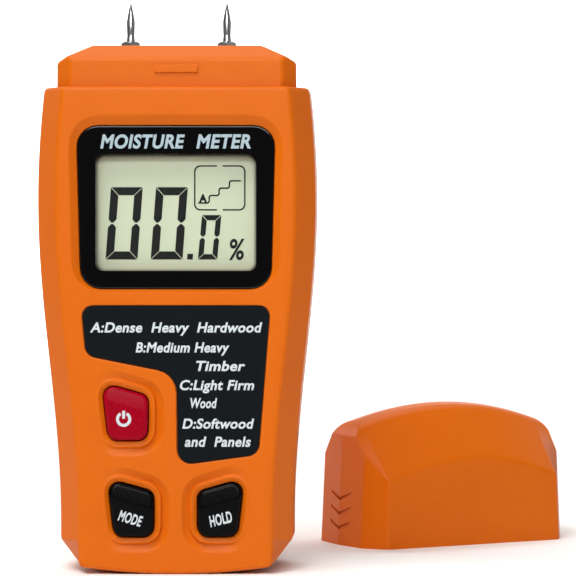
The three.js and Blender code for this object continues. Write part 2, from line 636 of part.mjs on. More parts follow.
for (const [side, x] of [["left", -PIN_SPACING / 2], ["right", PIN_SPACING / 2]]) {
  part(meter, `${side}_pin`, electrodePin(x), STEEL);
  part(meter, `${side}_pin_insert`, brassInsert(x), BRASS);
  part(meter, `${side}_pin_lead`, pinLead(x), NICKEL);
}

// ---------- circuit board ----------

function circuitBoard() {
  const right = [
    [BOARD_HALF_TAIL, BOARD_BOTTOM_Z, 1], [BOARD_HALF_TAIL, BOARD_TAIL_Z, 0.5],
    [BOARD_HALF_NARROW, BOARD_TAIL_Z, 1], [BOARD_HALF_NARROW, BOARD_STEP_Z, 1],
    [BOARD_HALF_WIDE, BOARD_STEP_Z + 3, 1], [BOARD_HALF_WIDE, BOARD_TOP_Z, 1.5],
  ];
  const left = right.map(([x, z, radius]) => [-x, z, radius]).reverse();
  const plate = slabY(rounded([...right, ...left]), BOARD_FRONT_Y, BOARD_BACK_Y, 3);
  return cut(plate, ...boardScrews.map(({ x, z }) =>
    rodY(BOARD_SCREW_RADIUS + SCREW_CLEARANCE, BOARD_FRONT_Y - 1, BOARD_BACK_Y + 1, x, z, 16)));
}

// Parts on the back of the board, behind the display
const ON_BOARD_Y = BOARD_BACK_Y + HAIR;
const PARTS_Z = LENS_BOTTOM_Z + 17;
const chipBlob = turnedY([[0, ON_BOARD_Y], [5, ON_BOARD_Y], [4.2, ON_BOARD_Y + 0.9], [2.4, ON_BOARD_Y + 1.4],
  [0, ON_BOARD_Y + 1.5]], 0, PARTS_Z);
const crystalCan = slabY(roundedBox(9, 13, PARTS_Z - 7, PARTS_Z + 3, 1.9), ON_BOARD_Y, ON_BOARD_Y + 2.2, 4);
const capacitorCan = turnedY([[0, ON_BOARD_Y], [2.5, ON_BOARD_Y], [2.5, ON_BOARD_Y + 5], [2.1, ON_BOARD_Y + 5.4],
  [0, ON_BOARD_Y + 5.4]], -14, PARTS_Z - 4);
part(meter, "circuit_board", circuitBoard(), BOARD_GREEN);
part(meter, "controller_chip", chipBlob, DARK_PART);
part(meter, "quartz_crystal", crystalCan, NICKEL);
part(meter, "smoothing_capacitor", capacitorCan, NICKEL);

// ---------- battery bay, cells and contacts ----------

const CELL_X = CELL_RADIUS + CELL_CLEARANCE / 2;
const CELL_Y = BAY_FLOOR_Y + CELL_CLEARANCE + CELL_RADIUS;
const BAY_HALF = CELL_X + CELL_RADIUS + CELL_CLEARANCE;
const CONTACT_LOW_Z = BAY_BOTTOM_Z + BUTTON_CLEARANCE;
const CELL_LOW_Z = CONTACT_LOW_Z + CONTACT_THICKNESS + HAIR;
const CONTACT_HIGH_Z = CELL_LOW_Z + CELL_LENGTH + SPRING_LENGTH + HAIR;
const BAY_TOP_Z = CONTACT_HIGH_Z + CONTACT_THICKNESS + BUTTON_CLEARANCE;

// A cell with its nub up or down
function cell(x, zFrom, nubUp) {
  const body = CELL_LENGTH - CELL_NUB;
  const profile = [
    [0, 0], [CELL_RADIUS - 0.4, 0], [CELL_RADIUS, 0.4], [CELL_RADIUS, body - 0.5], [CELL_RADIUS - 0.5, body],
    [CELL_NUB_RADIUS, body], [CELL_NUB_RADIUS, CELL_LENGTH], [0, CELL_LENGTH],
  ];
  const heights = nubUp
    ? profile.map(([radius, z]) => [radius, zFrom + z])
    : profile.map(([radius, z]) => [radius, zFrom + CELL_LENGTH - z]).reverse();
  return turned(heights, x, CELL_Y, 28);
}

// A cone of spring wire between a contact plate and the flat end of a cell
function contactSpring(x, zFrom) {
  const low = zFrom + BUTTON_CLEARANCE + SPRING_WIRE;
  const rise = SPRING_LENGTH - 2 * (BUTTON_CLEARANCE + SPRING_WIRE);
  const coil = new THREE.Curve();
  coil.getPoint = (share, target = new THREE.Vector3()) => {
    const angle = 2 * Math.PI * SPRING_TURNS * share;
    const radius = 3.5 - 1.3 * Math.abs(2 * share - 1);
    return target.set(x + radius * Math.cos(angle), CELL_Y + radius * Math.sin(angle), low + rise * share);
  };
  const section = new THREE.Shape().absarc(0, 0, SPRING_WIRE, 0, 2 * Math.PI);
  return solid(new THREE.ExtrudeGeometry(section, { steps: SPRING_TURNS * 14, curveSegments: 3, extrudePath: coil }));
}

// A contact plate at the upper end of one cell, with a tail through the bay's floor to the board
const TAIL_HALF = 1.2;
function endContact(x) {
  const half = 4;
  return merge(
    box(x - half, x + half, CELL_Y - half, CELL_Y + half, CONTACT_HIGH_Z, CONTACT_HIGH_Z + CONTACT_THICKNESS),
    box(x - TAIL_HALF, x + TAIL_HALF, BOARD_BACK_Y + BUTTON_CLEARANCE, CELL_Y,
      CONTACT_HIGH_Z, CONTACT_HIGH_Z + CONTACT_THICKNESS));
}

part(meter, "left_cell", cell(-CELL_X, CONTACT_HIGH_Z - HAIR - CELL_LENGTH, true), CELL_JACKET);
part(meter, "right_cell", cell(CELL_X, CELL_LOW_Z, false), CELL_JACKET);
part(meter, "positive_contact", endContact(-CELL_X), NICKEL);
part(meter, "negative_contact", endContact(CELL_X), NICKEL);
part(meter, "bridge_contact",
  box(-CELL_X - 4, CELL_X + 4, CELL_Y - 4, CELL_Y + 4, CONTACT_LOW_Z, CONTACT_LOW_Z + CONTACT_THICKNESS), NICKEL);
part(meter, "lower_spring", contactSpring(-CELL_X, CONTACT_LOW_Z + CONTACT_THICKNESS), NICKEL);
part(meter, "upper_spring", contactSpring(CELL_X, CONTACT_HIGH_Z - SPRING_LENGTH), NICKEL);

// The opening in the back, the ledge around it and the cover that closes it
const COVER_HALF = BAY_HALF + BAY_WALL + COVER_MARGIN;
const COVER_BOTTOM_Z = BAY_BOTTOM_Z - BAY_WALL - COVER_MARGIN;
const COVER_TOP_Z = BAY_TOP_Z + BAY_WALL + COVER_MARGIN;
const COVER_FRONT_Y = BACK_INSIDE_Y + HAIR;
const HOOK_FRONT_Y = COVER_FRONT_Y - COVER_LEDGE;
const HOOK_X = BAY_HALF - HOOK_FROM_BAY_SIDE - HOOK_WIDTH / 2;

function bayTub() {
  const around = box(-BAY_HALF - BAY_WALL, BAY_HALF + BAY_WALL, BAY_FLOOR_Y - BAY_WALL, BACK_INSIDE_Y - HAIR,
    BAY_BOTTOM_Z - BAY_WALL, BAY_TOP_Z + BAY_WALL);
  const rim = slabY(
    roundedBox(-COVER_HALF - 1.5, COVER_HALF + 1.5, COVER_BOTTOM_Z - 1.5, COVER_TOP_Z + 1.5, COVER_CORNER + 1.5),
    BACK_INSIDE_Y - COVER_LEDGE, BACK_INSIDE_Y + 0.3);
  return merge(around, rim);
}

function bayHollow() {
  const space = box(-BAY_HALF, BAY_HALF, BAY_FLOOR_Y, BACK_INSIDE_Y + 1, BAY_BOTTOM_Z, BAY_TOP_Z);
  const tails = mirrored((side) => box(side * CELL_X - TAIL_HALF - BUTTON_CLEARANCE, side * CELL_X + TAIL_HALF + BUTTON_CLEARANCE,
    BAY_FLOOR_Y - BAY_WALL - 1, BAY_FLOOR_Y + 1, CONTACT_HIGH_Z - BUTTON_CLEARANCE, BAY_TOP_Z));
  const hookRoom = COVER_LEDGE + 2 * BUTTON_CLEARANCE + HOOK_REACH;
  const hooks = mirrored((side) => box(
    side * HOOK_X - HOOK_WIDTH / 2 - BUTTON_CLEARANCE, side * HOOK_X + HOOK_WIDTH / 2 + BUTTON_CLEARANCE,
    BACK_INSIDE_Y - hookRoom, BACK_INSIDE_Y - HAIR / 2, COVER_BOTTOM_Z - HOOK_REACH - BUTTON_CLEARANCE, BAY_BOTTOM_Z + 1));
  return merge(space, ...tails, ...hooks);
}

const coverOutline = (growth) => roundedBox(-COVER_HALF - growth, COVER_HALF + growth,
  COVER_BOTTOM_Z - growth, COVER_TOP_Z + growth, COVER_CORNER + growth);

function batteryCover() {
  const plate = slabY(coverOutline(-COVER_CLEARANCE), COVER_FRONT_Y, BACK_Y - COVER_SUNK);
  const hooks = mirrored((side) => {
    const low = COVER_BOTTOM_Z + COVER_CLEARANCE - HOOK_REACH;
    const left = side * HOOK_X - HOOK_WIDTH / 2;
    return merge(
      box(left, left + HOOK_WIDTH, HOOK_FRONT_Y, BACK_INSIDE_Y - HOOK_PLAY, low, low + HOOK_REACH + 1.6),
      box(left, left + HOOK_WIDTH, HOOK_FRONT_Y, COVER_FRONT_Y + 0.5, low + HOOK_REACH + 0.3, low + HOOK_REACH + 1.6));
  });
  const grips = [0, 1, 2, 3].map((i) => box(-5 + i * 0.6, 5 - i * 0.6, BACK_Y - 0.6, BACK_Y + 1,
    COVER_TOP_Z - 4 - i * 1.6, COVER_TOP_Z - 3.3 - i * 1.6));
  return cut(merge(plate, ...hooks), ...grips);
}

part(meter, "battery_cover", batteryCover(), ORANGE);

// ---------- the two shells ----------

// Ribs across the neck with half a hole for each insert
const saddle = merge(...mirrored((side) =>
  box(side * PIN_SPACING / 2 - 5, side * PIN_SPACING / 2 + 5, -NECK_HALF_DEPTH + 1, NECK_HALF_DEPTH - 1, SADDLE_Z, SADDLE_Z + 2)));
const insertHoles = merge(...mirrored((side) => turned([
  [0, SADDLE_Z - 1], [INSERT_RADIUS + BUTTON_CLEARANCE, SADDLE_Z - 1], [INSERT_RADIUS + BUTTON_CLEARANCE, SADDLE_Z + 3],
  [0, SADDLE_Z + 3]], side * PIN_SPACING / 2)));
const pinHoles = merge(...mirrored((side) => turned([
  [0, NECK_TOP_Z - WALL - 1], [THREAD_RADIUS + THREAD_CLEARANCE, NECK_TOP_Z - WALL - 1],
  [THREAD_RADIUS + THREAD_CLEARANCE, NECK_TOP_Z + 1], [0, NECK_TOP_Z + 1]], side * PIN_SPACING / 2)));

function frontShell() {
  const seat = slabY(rounded(grown(lensCorners, SEAT_MARGIN)), FRONT_INSIDE_Y - 0.5, LEDGE_BACK_Y);
  const catchBar = box(-CATCH_LENGTH / 2, CATCH_LENGTH / 2, -NECK_HALF_DEPTH - CATCH_PROUD, -NECK_HALF_DEPTH + 0.5,
    CATCH_Z - CATCH_HEIGHT / 2, CATCH_Z + CATCH_HEIGHT / 2);
  const casePosts = caseScrews.map(({ x, z }) => rodY(CASE_POST_RADIUS, FRONT_INSIDE_Y - 0.5, -PARTING_GAP / 2, x, z));
  const caseHoles = caseScrews.map(({ x, z }) =>
    rodY(CASE_SCREW_RADIUS + SCREW_CLEARANCE, CASE_SCREW_SEAT_Y - CASE_SCREW_LENGTH - 1, 1, x, z, 16));
  const boardPosts = boardScrews.map(({ x, z }) => rodY(BOARD_POST_RADIUS, FRONT_INSIDE_Y - 0.5, BOARD_FRONT_Y - HAIR, x, z));
  const boardHoles = boardScrews.map(({ x, z }) =>
    rodY(BOARD_SCREW_RADIUS + SCREW_CLEARANCE, BOARD_BACK_Y - BOARD_SCREW_LENGTH - 0.5, BOARD_FRONT_Y + 1, x, z, 16));
  const all = Object.values(buttons);
  let shell = merge(casing.intersect(frontHalf), saddle.intersect(frontHalf), seat, catchBar, ...casePosts, ...boardPosts);
  shell = cut(shell, ...all.map(buttonDish));
  shell = merge(shell, ...all.map(buttonRim));
  return cut(shell, ...all.map(buttonHole), ...caseHoles, ...boardHoles, displayRecess(), insertHoles, pinHoles,
    slabY(rounded(grown(labelCorners, 0.15)), FRONT_Y - 1, FRONT_Y + LABEL_POCKET));
}

// The tongue stands inside the front shell along the sides and the lower end
function partingTongue() {
  const clear = WALL + PARTING_GAP;
  const ring = (inset) => loftY([
    { y: PARTING_GAP / 2 + 1, outline: housingOutline(inset, inset) },
    { y: -LIP_HEIGHT, outline: housingOutline(inset, inset) },
  ]);
  return cut(ring(clear), ring(clear + LIP), box(-FAR, FAR, -FAR, FAR, SHOULDER_Z - 12, FAR),
    ...caseScrews.map(({ x, z }) => rodY(CASE_POST_RADIUS + BUTTON_CLEARANCE, -5, 0, x, z)));
}

// Webs that join the tongue to the back shell's wall
function tongueRoot() {
  const outer = loftY([
    { y: PARTING_GAP / 2 + 3, outline: housingOutline(WALL - 0.5, WALL - 0.5) },
    { y: PARTING_GAP / 2, outline: housingOutline(WALL - 0.5, WALL - 0.5) },
  ]);
  const inner = loftY([
    { y: FAR, outline: housingOutline(WALL + PARTING_GAP + LIP, WALL + PARTING_GAP + LIP) },
    { y: -FAR, outline: housingOutline(WALL + PARTING_GAP + LIP, WALL + PARTING_GAP + LIP) },
  ]);
  return cut(outer, inner, box(-FAR, FAR, -FAR, FAR, SHOULDER_Z - 12, FAR));
}

function backShell() {
  const posts = caseScrews.map(({ x, z }) => rodY(CASE_POST_RADIUS + 0.6, PARTING_GAP / 2, BACK_INSIDE_Y + 0.5, x, z));
  const wells = caseScrews.map(({ x, z }) => merge(
    rodY(CASE_WELL_RADIUS, CASE_SCREW_SEAT_Y, BACK_Y + 1, x, z),
    rodY(CASE_SCREW_RADIUS + SCREW_CLEARANCE, -2, CASE_SCREW_SEAT_Y + 1, x, z, 16)));
  const opening = slabY(coverOutline(0), BACK_INSIDE_Y - HAIR, BACK_Y + 1);
  const nail = rodY(4, BACK_Y - 1, BACK_Y + 1, 0, COVER_TOP_Z + 0.5, 24);
  const shell = merge(casing.intersect(backHalf), bayTub(), ...posts, partingTongue(), tongueRoot(),
    saddle.intersect(backHalf));
  return cut(shell, opening, bayHollow(), ...wells, nail, insertHoles, pinHoles);
}

part(meter, "front_shell", frontShell(), ORANGE);
part(meter, "back_shell", backShell(), ORANGE);

// ---------- pin cap ----------

// Its section along the length: upright walls, long bevels and a crown that is lower at the ends
function capForm(inset, zFrom) {
  const steps = 12;
  const half = SHOULDER_HALF - inset;
  const depth = HALF_DEPTH - inset;
  const rings = [];
  for (let i = 0; i <= steps; i += 1) {
    const x = half * (2 * i / steps - 1);
    const share = (x / SHOULDER_HALF) ** 2;
    const wall = CAP_WALL_HEIGHT - CAP_WALL_END_DROP * share - inset * 0.6;
    const crown = CAP_HEIGHT - CAP_END_DROP * share - inset;
    const shoulder = crown - 0.7; // the crown strip is slightly rounded across
    rings.push([
      [x, -depth, zFrom], [x, depth, zFrom], [x, depth - 0.4, wall], [x, CAP_CROWN_HALF, shoulder], [x, 0, crown],
      [x, -CAP_CROWN_HALF, shoulder], [x, -depth + 0.4, wall],
    ]);
  }
  const along = loft(rings, ([, y, z]) => [y, z]);
  const tapered = loft([
    capPlan(half, depth, zFrom),
    capPlan(half - CAP_TAPER * (CAP_HEIGHT - zFrom) / CAP_HEIGHT, depth, CAP_HEIGHT),
  ], ([x, y]) => [x, y]);
  const top = CAP_HEIGHT - CAP_END_DROP * 0.8 - inset;
  const end = half - CAP_TAPER * 0.8;
  const roundedEnds = new THREE.Shape()
    .moveTo(-FAR, zFrom).lineTo(FAR, zFrom).lineTo(FAR, top - CAP_END_ROUND).lineTo(end, top - CAP_END_ROUND)
    .quadraticCurveTo(end, top, end - CAP_END_ROUND, top + 1).lineTo(end - 2 * CAP_END_ROUND, top + CAP_END_DROP)
    .lineTo(-end + 2 * CAP_END_ROUND, top + CAP_END_DROP).lineTo(-end + CAP_END_ROUND, top + 1)
    .quadraticCurveTo(-end, top, -end, top - CAP_END_ROUND).lineTo(-FAR, top - CAP_END_ROUND);
  return along.intersect(tapered).intersect(slabY(roundedEnds, -FAR, FAR));
}

// The rim's outline: chamfered corners, and ends that come to a low ridge in the middle
const capPlan = (half, depth, z) => [
  [-half + EDGE_WIDTH, -depth], [half - EDGE_WIDTH, -depth], [half - SIDE_DRAFT, -depth + EDGE_DEPTH], [half, 0],
  [half - SIDE_DRAFT, depth - EDGE_DEPTH], [half - EDGE_WIDTH, depth], [-half + EDGE_WIDTH, depth],
  [-half + SIDE_DRAFT, depth - EDGE_DEPTH], [-half, 0], [-half + SIDE_DRAFT, -depth + EDGE_DEPTH],
].map(([x, y]) => [x, y, z]);

// One chevron groove across an end of the cap
function gripLine(side, z) {
  const lean = CAP_TAPER * z / CAP_HEIGHT;
  const face = SHOULDER_HALF - lean;
  const shape = new THREE.Shape([
    [-GRIP_HALF, z + GRIP_DIP], [0, z], [GRIP_HALF, z + GRIP_DIP],
    [GRIP_HALF, z + GRIP_DIP + GRIP_WIDTH], [0, z + GRIP_WIDTH], [-GRIP_HALF, z + GRIP_DIP + GRIP_WIDTH],
  ].map(([u, v]) => new THREE.Vector2(u, v)));
  return side > 0 ? slabX(shape, face - GRIP_DEPTH, face + 2) : slabX(shape, -face - 2, -face + GRIP_DEPTH);
}

function capShell() {
  const grips = mirrored((side) => merge(...Array.from({ length: GRIP_LINES }, (_, i) =>
    gripLine(side, GRIP_FIRST_Z + i * GRIP_PITCH))));
  const neckRoom = slabZ(octagon(NECK_HALF + CAP_FIT, NECK_HALF_DEPTH + CAP_FIT, NECK_EDGE, NECK_EDGE),
    -1, NECK_TOP_Z - SHOULDER_Z + 1);
  const catchRoom = box(-CATCH_LENGTH / 2 - CAP_FIT, CATCH_LENGTH / 2 + CAP_FIT,
    -NECK_HALF_DEPTH - CATCH_PROUD - CAP_FIT, 0,
    CATCH_Z - SHOULDER_Z - CATCH_HEIGHT / 2 - CAP_FIT, CATCH_Z - SHOULDER_Z + CATCH_HEIGHT / 2 + CAP_FIT);
  return cut(capForm(0, 0), capForm(CAP_WALL, -1), neckRoom, catchRoom, ...grips);
}

part(cap, "pin_cap", capShell(), ORANGE);

// ---------- the set: the origin is on the surface, under the middle of meter and cap ----------

cap.position.set(CAP_PLACE.x, CAP_PLACE.y, 0);
cap.rotation.z = THREE.MathUtils.degToRad(CAP_YAW);
const set = new THREE.Group().add(meter, cap);
const bounds = new THREE.Box3().setFromObject(set, true);
set.position.set(-(bounds.min.x + bounds.max.x) / 2, -(bounds.min.y + bounds.max.y) / 2, -bounds.min.z);

const moistureMeter = new THREE.Group().add(set);
export default moistureMeter;
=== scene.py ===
"""A two-pin moisture meter standing on its lower end, with its pin cap beside it.

Each piece is drawn in millimetres where it sits in the meter, or in the cap, and is then put in its
place in the frame, in metres. In the meter x runs across, y back from the plane where the shells part,
and z up from the lowest point.
"""

import math
import bmesh
import bpy
from mathutils import Matrix, Vector


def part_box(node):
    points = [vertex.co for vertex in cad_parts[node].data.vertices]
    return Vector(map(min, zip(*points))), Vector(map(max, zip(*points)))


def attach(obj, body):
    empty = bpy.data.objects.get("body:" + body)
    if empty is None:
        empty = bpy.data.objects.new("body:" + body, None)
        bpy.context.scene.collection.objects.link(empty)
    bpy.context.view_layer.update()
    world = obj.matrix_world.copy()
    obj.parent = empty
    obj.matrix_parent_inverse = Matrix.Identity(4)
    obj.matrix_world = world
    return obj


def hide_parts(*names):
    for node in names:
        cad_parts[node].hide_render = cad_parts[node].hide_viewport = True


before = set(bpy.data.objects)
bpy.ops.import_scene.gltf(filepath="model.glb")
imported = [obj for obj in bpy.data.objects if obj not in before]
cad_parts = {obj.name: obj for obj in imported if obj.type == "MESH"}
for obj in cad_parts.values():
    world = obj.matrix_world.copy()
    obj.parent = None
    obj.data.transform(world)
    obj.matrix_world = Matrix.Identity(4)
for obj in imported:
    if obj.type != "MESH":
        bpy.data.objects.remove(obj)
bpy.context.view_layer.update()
pi = math.pi


# Front shell: injection-moulded ABS, 2 mm thick, satin from fine spark texture in the mould.
# Its face has a sloping hollow for the lens, a shallow pocket for the label and a dish round each key.
shell_low, shell_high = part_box("front_shell")
METRE = 0.001
PARTING = 0.15  # half the gap between the shells
METER = Matrix.Translation(((shell_low.x + shell_high.x) / 2, shell_high.y + PARTING * METRE, shell_low.z)) \
    @ Matrix.Scale(METRE, 4)
SHOULDER_Z = 102.6
WIDEST_Z = 0.77 * SHOULDER_Z
WAIST_Z = 10
WIDEST_HALF = 30
WAIST_HALF = 25.1
SHOULDER_HALF = 28.6
CORNER_CUT_Z = 7
CHIN_HALF = 20.4
CHIN_RISE = 1.5
FACE_Y = 15
EDGE_WIDTH = 4.9
EDGE_DEPTH = 5.5
SIDE_DRAFT = 0.5
WALL = 2
NECK_TOP = SHOULDER_Z + 9.2
NECK_HALF = 25.4
NECK_DEPTH = 13
NECK_EDGE = 3
NECK_SLOPE = (7.4, 3.8)  # across and down
NECK_BEVEL = (4.5, 3.2)  # back and down


def linear(colour):
    """An sRGB hex colour as linear RGBA."""
    parts = [int(colour[i:i + 2], 16) / 255 for i in (1, 3, 5)]
    return [c / 12.92 if c <= 0.04045 else ((c + 0.055) / 1.055) ** 2.4 for c in parts] + [1]


def add(tree, kind, settings=None, values=None, links=None):
    """Adds a shader node, sets its properties and socket values, and links its sockets."""
    made = tree.nodes.new(kind)
    for name, value in (settings or {}).items():
        setattr(made, name, value)
    for socket, value in (values or {}).items():
        made.inputs[socket].default_value = value
    for socket, source in (links or {}).items():
        tree.links.new(source, made.inputs[socket])
    return made


def surface(name, values):
    """A new material with a Principled shader; returns the material, its tree and the shader."""
    material = bpy.data.materials.new(name)
    material.use_nodes = True
    tree = material.node_tree
    tree.nodes.clear()
    shader = add(tree, "ShaderNodeBsdfPrincipled", values=values)
    add(tree, "ShaderNodeOutputMaterial", links={"Surface": shader.outputs["BSDF"]})
    return material, tree, shader


def clouds(tree, scale, detail, roughness=0.5):
    """An even noise fixed to the piece; its scale is in patches to the metre."""
    place = add(tree, "ShaderNodeTexCoord").outputs["Object"]
    return add(tree, "ShaderNodeTexNoise", values={"Scale": scale, "Detail": detail, "Roughness": roughness},
               links={"Vector": place}).outputs["Fac"]


def two_tone(tree, share, colour, other):
    """A colour that runs into another one."""
    tint = add(tree, "ShaderNodeMix", {"data_type": "RGBA"}, links={0: share})
    tint.inputs[6].default_value = linear(colour)
    tint.inputs[7].default_value = linear(other)
    return tint.outputs[2]


def relief(tree, shader, height, strength, depth):
    """A fine relief, its depth in metres."""
    bump = add(tree, "ShaderNodeBump", values={"Strength": strength, "Distance": depth},
               links={"Height": height})
    tree.links.new(bump.outputs["Normal"], shader.inputs["Normal"])


def uneven_gloss(tree, shader, share, smoothest, roughest):
    gloss = add(tree, "ShaderNodeMapRange", values={"To Min": smoothest, "To Max": roughest},
                links={"Value": share})
    tree.links.new(gloss.outputs["Result"], shader.inputs["Roughness"])


def spark_textured_abs(name, colour, shade):
    """ABS from a spark-eroded mould: a satin broken up by a fine grain, and a faint mottle in its colour."""
    material, tree, shader = surface(name, {"Roughness": 0.42, "IOR": 1.53, "Specular IOR Level": 0.16})
    tree.links.new(two_tone(tree, clouds(tree, 90.0, 3.0), colour, shade), shader.inputs["Base Color"])
    # Grain of about 0.35 mm, coarser than the real 0.1 mm so that it shows.
    grain = clouds(tree, 2800.0, 2.0, 0.6)
    relief(tree, shader, grain, 0.08, 0.0001)
    uneven_gloss(tree, shader, grain, 0.37, 0.47)
    return material


def arcs(corners, grow=0.0, steps=5, closed=True):
    """Points along (x, z, radius) corners with each corner arced, moved to the right of the path by grow."""
    points = []
    for i, (x, z, radius) in enumerate(corners):
        here = Vector((x, z))
        if not closed and i in (0, len(corners) - 1):
            points.append(here)
            continue
        into = (here - Vector(corners[i - 1][:2])).normalized()
        out = (Vector(corners[(i + 1) % len(corners)][:2]) - here).normalized()
        normals = Vector((into.y, -into.x)), Vector((out.y, -out.x))
        reach = (normals[0] + normals[1]) / (1 + normals[0].dot(normals[1]))
        corner = here + reach * grow
        if not radius:
            points.append(corner)
            continue
        cross = into.x * out.y - into.y * out.x
        side = 1 if cross > 0 else -1
        bend = max(radius + side * grow, 0.05)
        centre = corner - reach * bend * side
        start = math.atan2(normals[0].y, normals[0].x)
        turn = math.atan2(cross, into.dot(out))
        for k in range(steps + 1):
            angle = start + turn * k / steps
            points.append(centre + Vector((math.cos(angle), math.sin(angle))) * bend * side)
    return points


def side_half(z):
    """Half the shell's width at a height: waisted below, slightly barrelled above."""
    if z >= WIDEST_Z:
        return WIDEST_HALF - (WIDEST_HALF - SHOULDER_HALF) * ((z - WIDEST_Z) / (SHOULDER_Z - WIDEST_Z)) ** 2
    share = min((WIDEST_Z - z) / (WIDEST_Z - WAIST_Z), 1)
    return WAIST_HALF + (WIDEST_HALF - WAIST_HALF) * (1 + math.cos(pi * share)) / 2


def shell_outline(side_in, end_in, y):
    """The shell's outline at a depth, drawn in on its sides and on its ends."""
    steps = 30
    low = CORNER_CUT_Z + end_in / 2
    heights = [low + (SHOULDER_Z - end_in - low) * i / steps for i in range(steps + 1)]
    chin_half = min(CHIN_HALF - end_in, side_half(low) - side_in + 0.1)
    chin = [chin_half * (i / 10 - 1) for i in range(21)]
    right = [(side_half(z) - side_in, z, 0) for z in heights]
    right[0] = (*right[0][:2], 1.8)
    right[-1] = (*right[-1][:2], 0.9)
    below = [(x, end_in + CHIN_RISE * (x / CHIN_HALF) ** 2, 1.4 if i in (0, len(chin) - 1) else 0)
             for i, x in enumerate(chin)]
    left = [(-x, z, radius) for x, z, radius in reversed(right)]
    return [(point.x, y, point.y) for point in arcs(below + right + left)]


def skin(bm, rings):
    """Draws the first ring as a closed chain of edges and extrudes it ring by ring; returns every chain."""
    loop = [bm.verts.new(point) for point in rings[0]]
    chain = [bm.edges.new((loop[i - 1], loop[i])) for i in range(len(loop))]
    chains = [chain]
    for ring in rings[1:]:
        made = bmesh.ops.extrude_edge_only(bm, edges=chain)["geom"]
        fresh = {v for v in made if isinstance(v, bmesh.types.BMVert)}
        loop = [next(e.other_vert(v) for e in v.link_edges if e.other_vert(v) in fresh) for v in loop]
        for vert, point in zip(loop, ring):
            vert.co = point
        chain = [bm.edges.get((loop[i - 1], loop[i])) for i in range(len(loop))]
        chains.append(chain)
    return chains


def lofted(rings):
    """A closed solid skinned over rings, with a flat lid at each end."""
    bm = bmesh.new()
    chains = skin(bm, rings)
    bmesh.ops.contextual_create(bm, geom=chains[0])
    bmesh.ops.contextual_create(bm, geom=chains[-1])
    bmesh.ops.recalc_face_normals(bm, faces=bm.faces)
    return bm


def block(low, high, round_off=0.0):
    """A box from its lowest to its highest corner, its edges rounded if asked."""
    bm = bmesh.new()
    bmesh.ops.create_cube(bm, size=1)
    bmesh.ops.scale(bm, vec=[b - a for a, b in zip(low, high)], verts=bm.verts)
    bmesh.ops.translate(bm, vec=[(a + b) / 2 for a, b in zip(low, high)], verts=bm.verts)
    if round_off:
        bmesh.ops.bevel(bm, geom=bm.edges[:], offset=round_off, affect="EDGES", segments=3, profile=0.5,
                        material=-1)
    return bm


def circle(radius, steps):
    angles = [2 * pi * i / steps for i in range(steps)]
    return [(radius * math.cos(angle), radius * math.sin(angle)) for angle in angles]


def rod(radius, y_from, y_to, x, z, steps=32):
    """A round bar lying front to back."""
    return lofted([[(x + u, y, z + v) for u, v in circle(radius, steps)] for y in (y_from, y_to)])


def turned(profile, x, y, steps=48):
    """A solid of revolution about an upright axis, from (radius, height) points that end on the axis."""
    bm = bmesh.new()
    verts = [bm.verts.new((x + radius, y, z)) for radius, z in profile]
    edges = [bm.edges.new(pair) for pair in zip(verts, verts[1:])]
    bmesh.ops.spin(bm, geom=verts + edges, cent=(x, y, 0), axis=(0, 0, 1), angle=2 * pi, steps=steps,
                   use_merge=True)
    bmesh.ops.remove_doubles(bm, verts=bm.verts, dist=1e-4)
    bmesh.ops.recalc_face_normals(bm, faces=bm.faces)
    return bm


def trim(bm, point, outward):
    """Cuts off what lies beyond a plane and closes the cut."""
    bmesh.ops.bisect_plane(bm, geom=bm.verts[:] + bm.edges[:] + bm.faces[:], plane_co=point, plane_no=outward,
                           clear_outer=True)
    bmesh.ops.holes_fill(bm, edges=[e for e in bm.edges if e.is_boundary])


def carve(bm, how, tools):
    """Cuts the tools out of a closed solid, or joins them to it; the solids that went in are used up."""
    bench = []
    for solid in (bm, *tools):
        mesh = bpy.data.meshes.new("bench")
        solid.to_mesh(mesh)
        solid.free()
        bench.append(bpy.data.objects.new("bench", mesh))
        bpy.context.scene.collection.objects.link(bench[-1])
    for tool in bench[1:]:
        modifier = bench[0].modifiers.new("carve", "BOOLEAN")
        modifier.operation = how
        modifier.solver = "MANIFOLD"
        modifier.object = tool
    made = bpy.data.meshes.new_from_object(bench[0].evaluated_get(bpy.context.evaluated_depsgraph_get()))
    result = bmesh.new()
    result.from_mesh(made)
    bpy.data.meshes.remove(made)
    for thing in bench:
        mesh = thing.data
        bpy.data.objects.remove(thing)
        bpy.data.meshes.remove(mesh)
    if not result.faces:
        raise RuntimeError("carving left nothing")
    return result


def fit(bm, name, material, body, nodes=(), place=METER, sharp=30, even=True):
    """Puts a finished piece in its place, smooths its rounded edges and makes it ride with its body."""
    mesh = bpy.data.meshes.new(name)
    bm.to_mesh(mesh)
    bm.free()
    mesh.transform(place)
    mesh.materials.append(material)
    mesh.shade_smooth()
    mesh.set_sharp_from_angle(angle=math.radians(sharp))
    made = bpy.data.objects.new(name, mesh)
    bpy.context.scene.collection.objects.link(made)
    if even:
        normals = made.modifiers.new("even_faces", "WEIGHTED_NORMAL")
        normals.keep_sharp = True
        normals.weight = 60
    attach(made, body)
    if nodes:
        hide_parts(*nodes)
    return made


def shell_rings(sign):
    """The outside from the parting plane to the flat face: a leaning side, a long bevel, rounded edges."""
    path = arcs([(0.2, PARTING, 0), (0, PARTING + 0.25, 0.2), (SIDE_DRAFT, FACE_Y - EDGE_DEPTH, 1.6),
                 (EDGE_WIDTH, FACE_Y, 1.5), (EDGE_WIDTH + 1.5, FACE_Y, 0)], closed=False)
    rings = []
    end_round = 0.9
    for side_in, depth in path:
        rise = min(max((depth - (FACE_Y - end_round)) / end_round, 0), 1)
        end_in = end_round * (1 - math.sqrt(1 - rise ** 2)) if depth > 1 else side_in
        rings.append(shell_outline(side_in, end_in, sign * depth))
    return rings


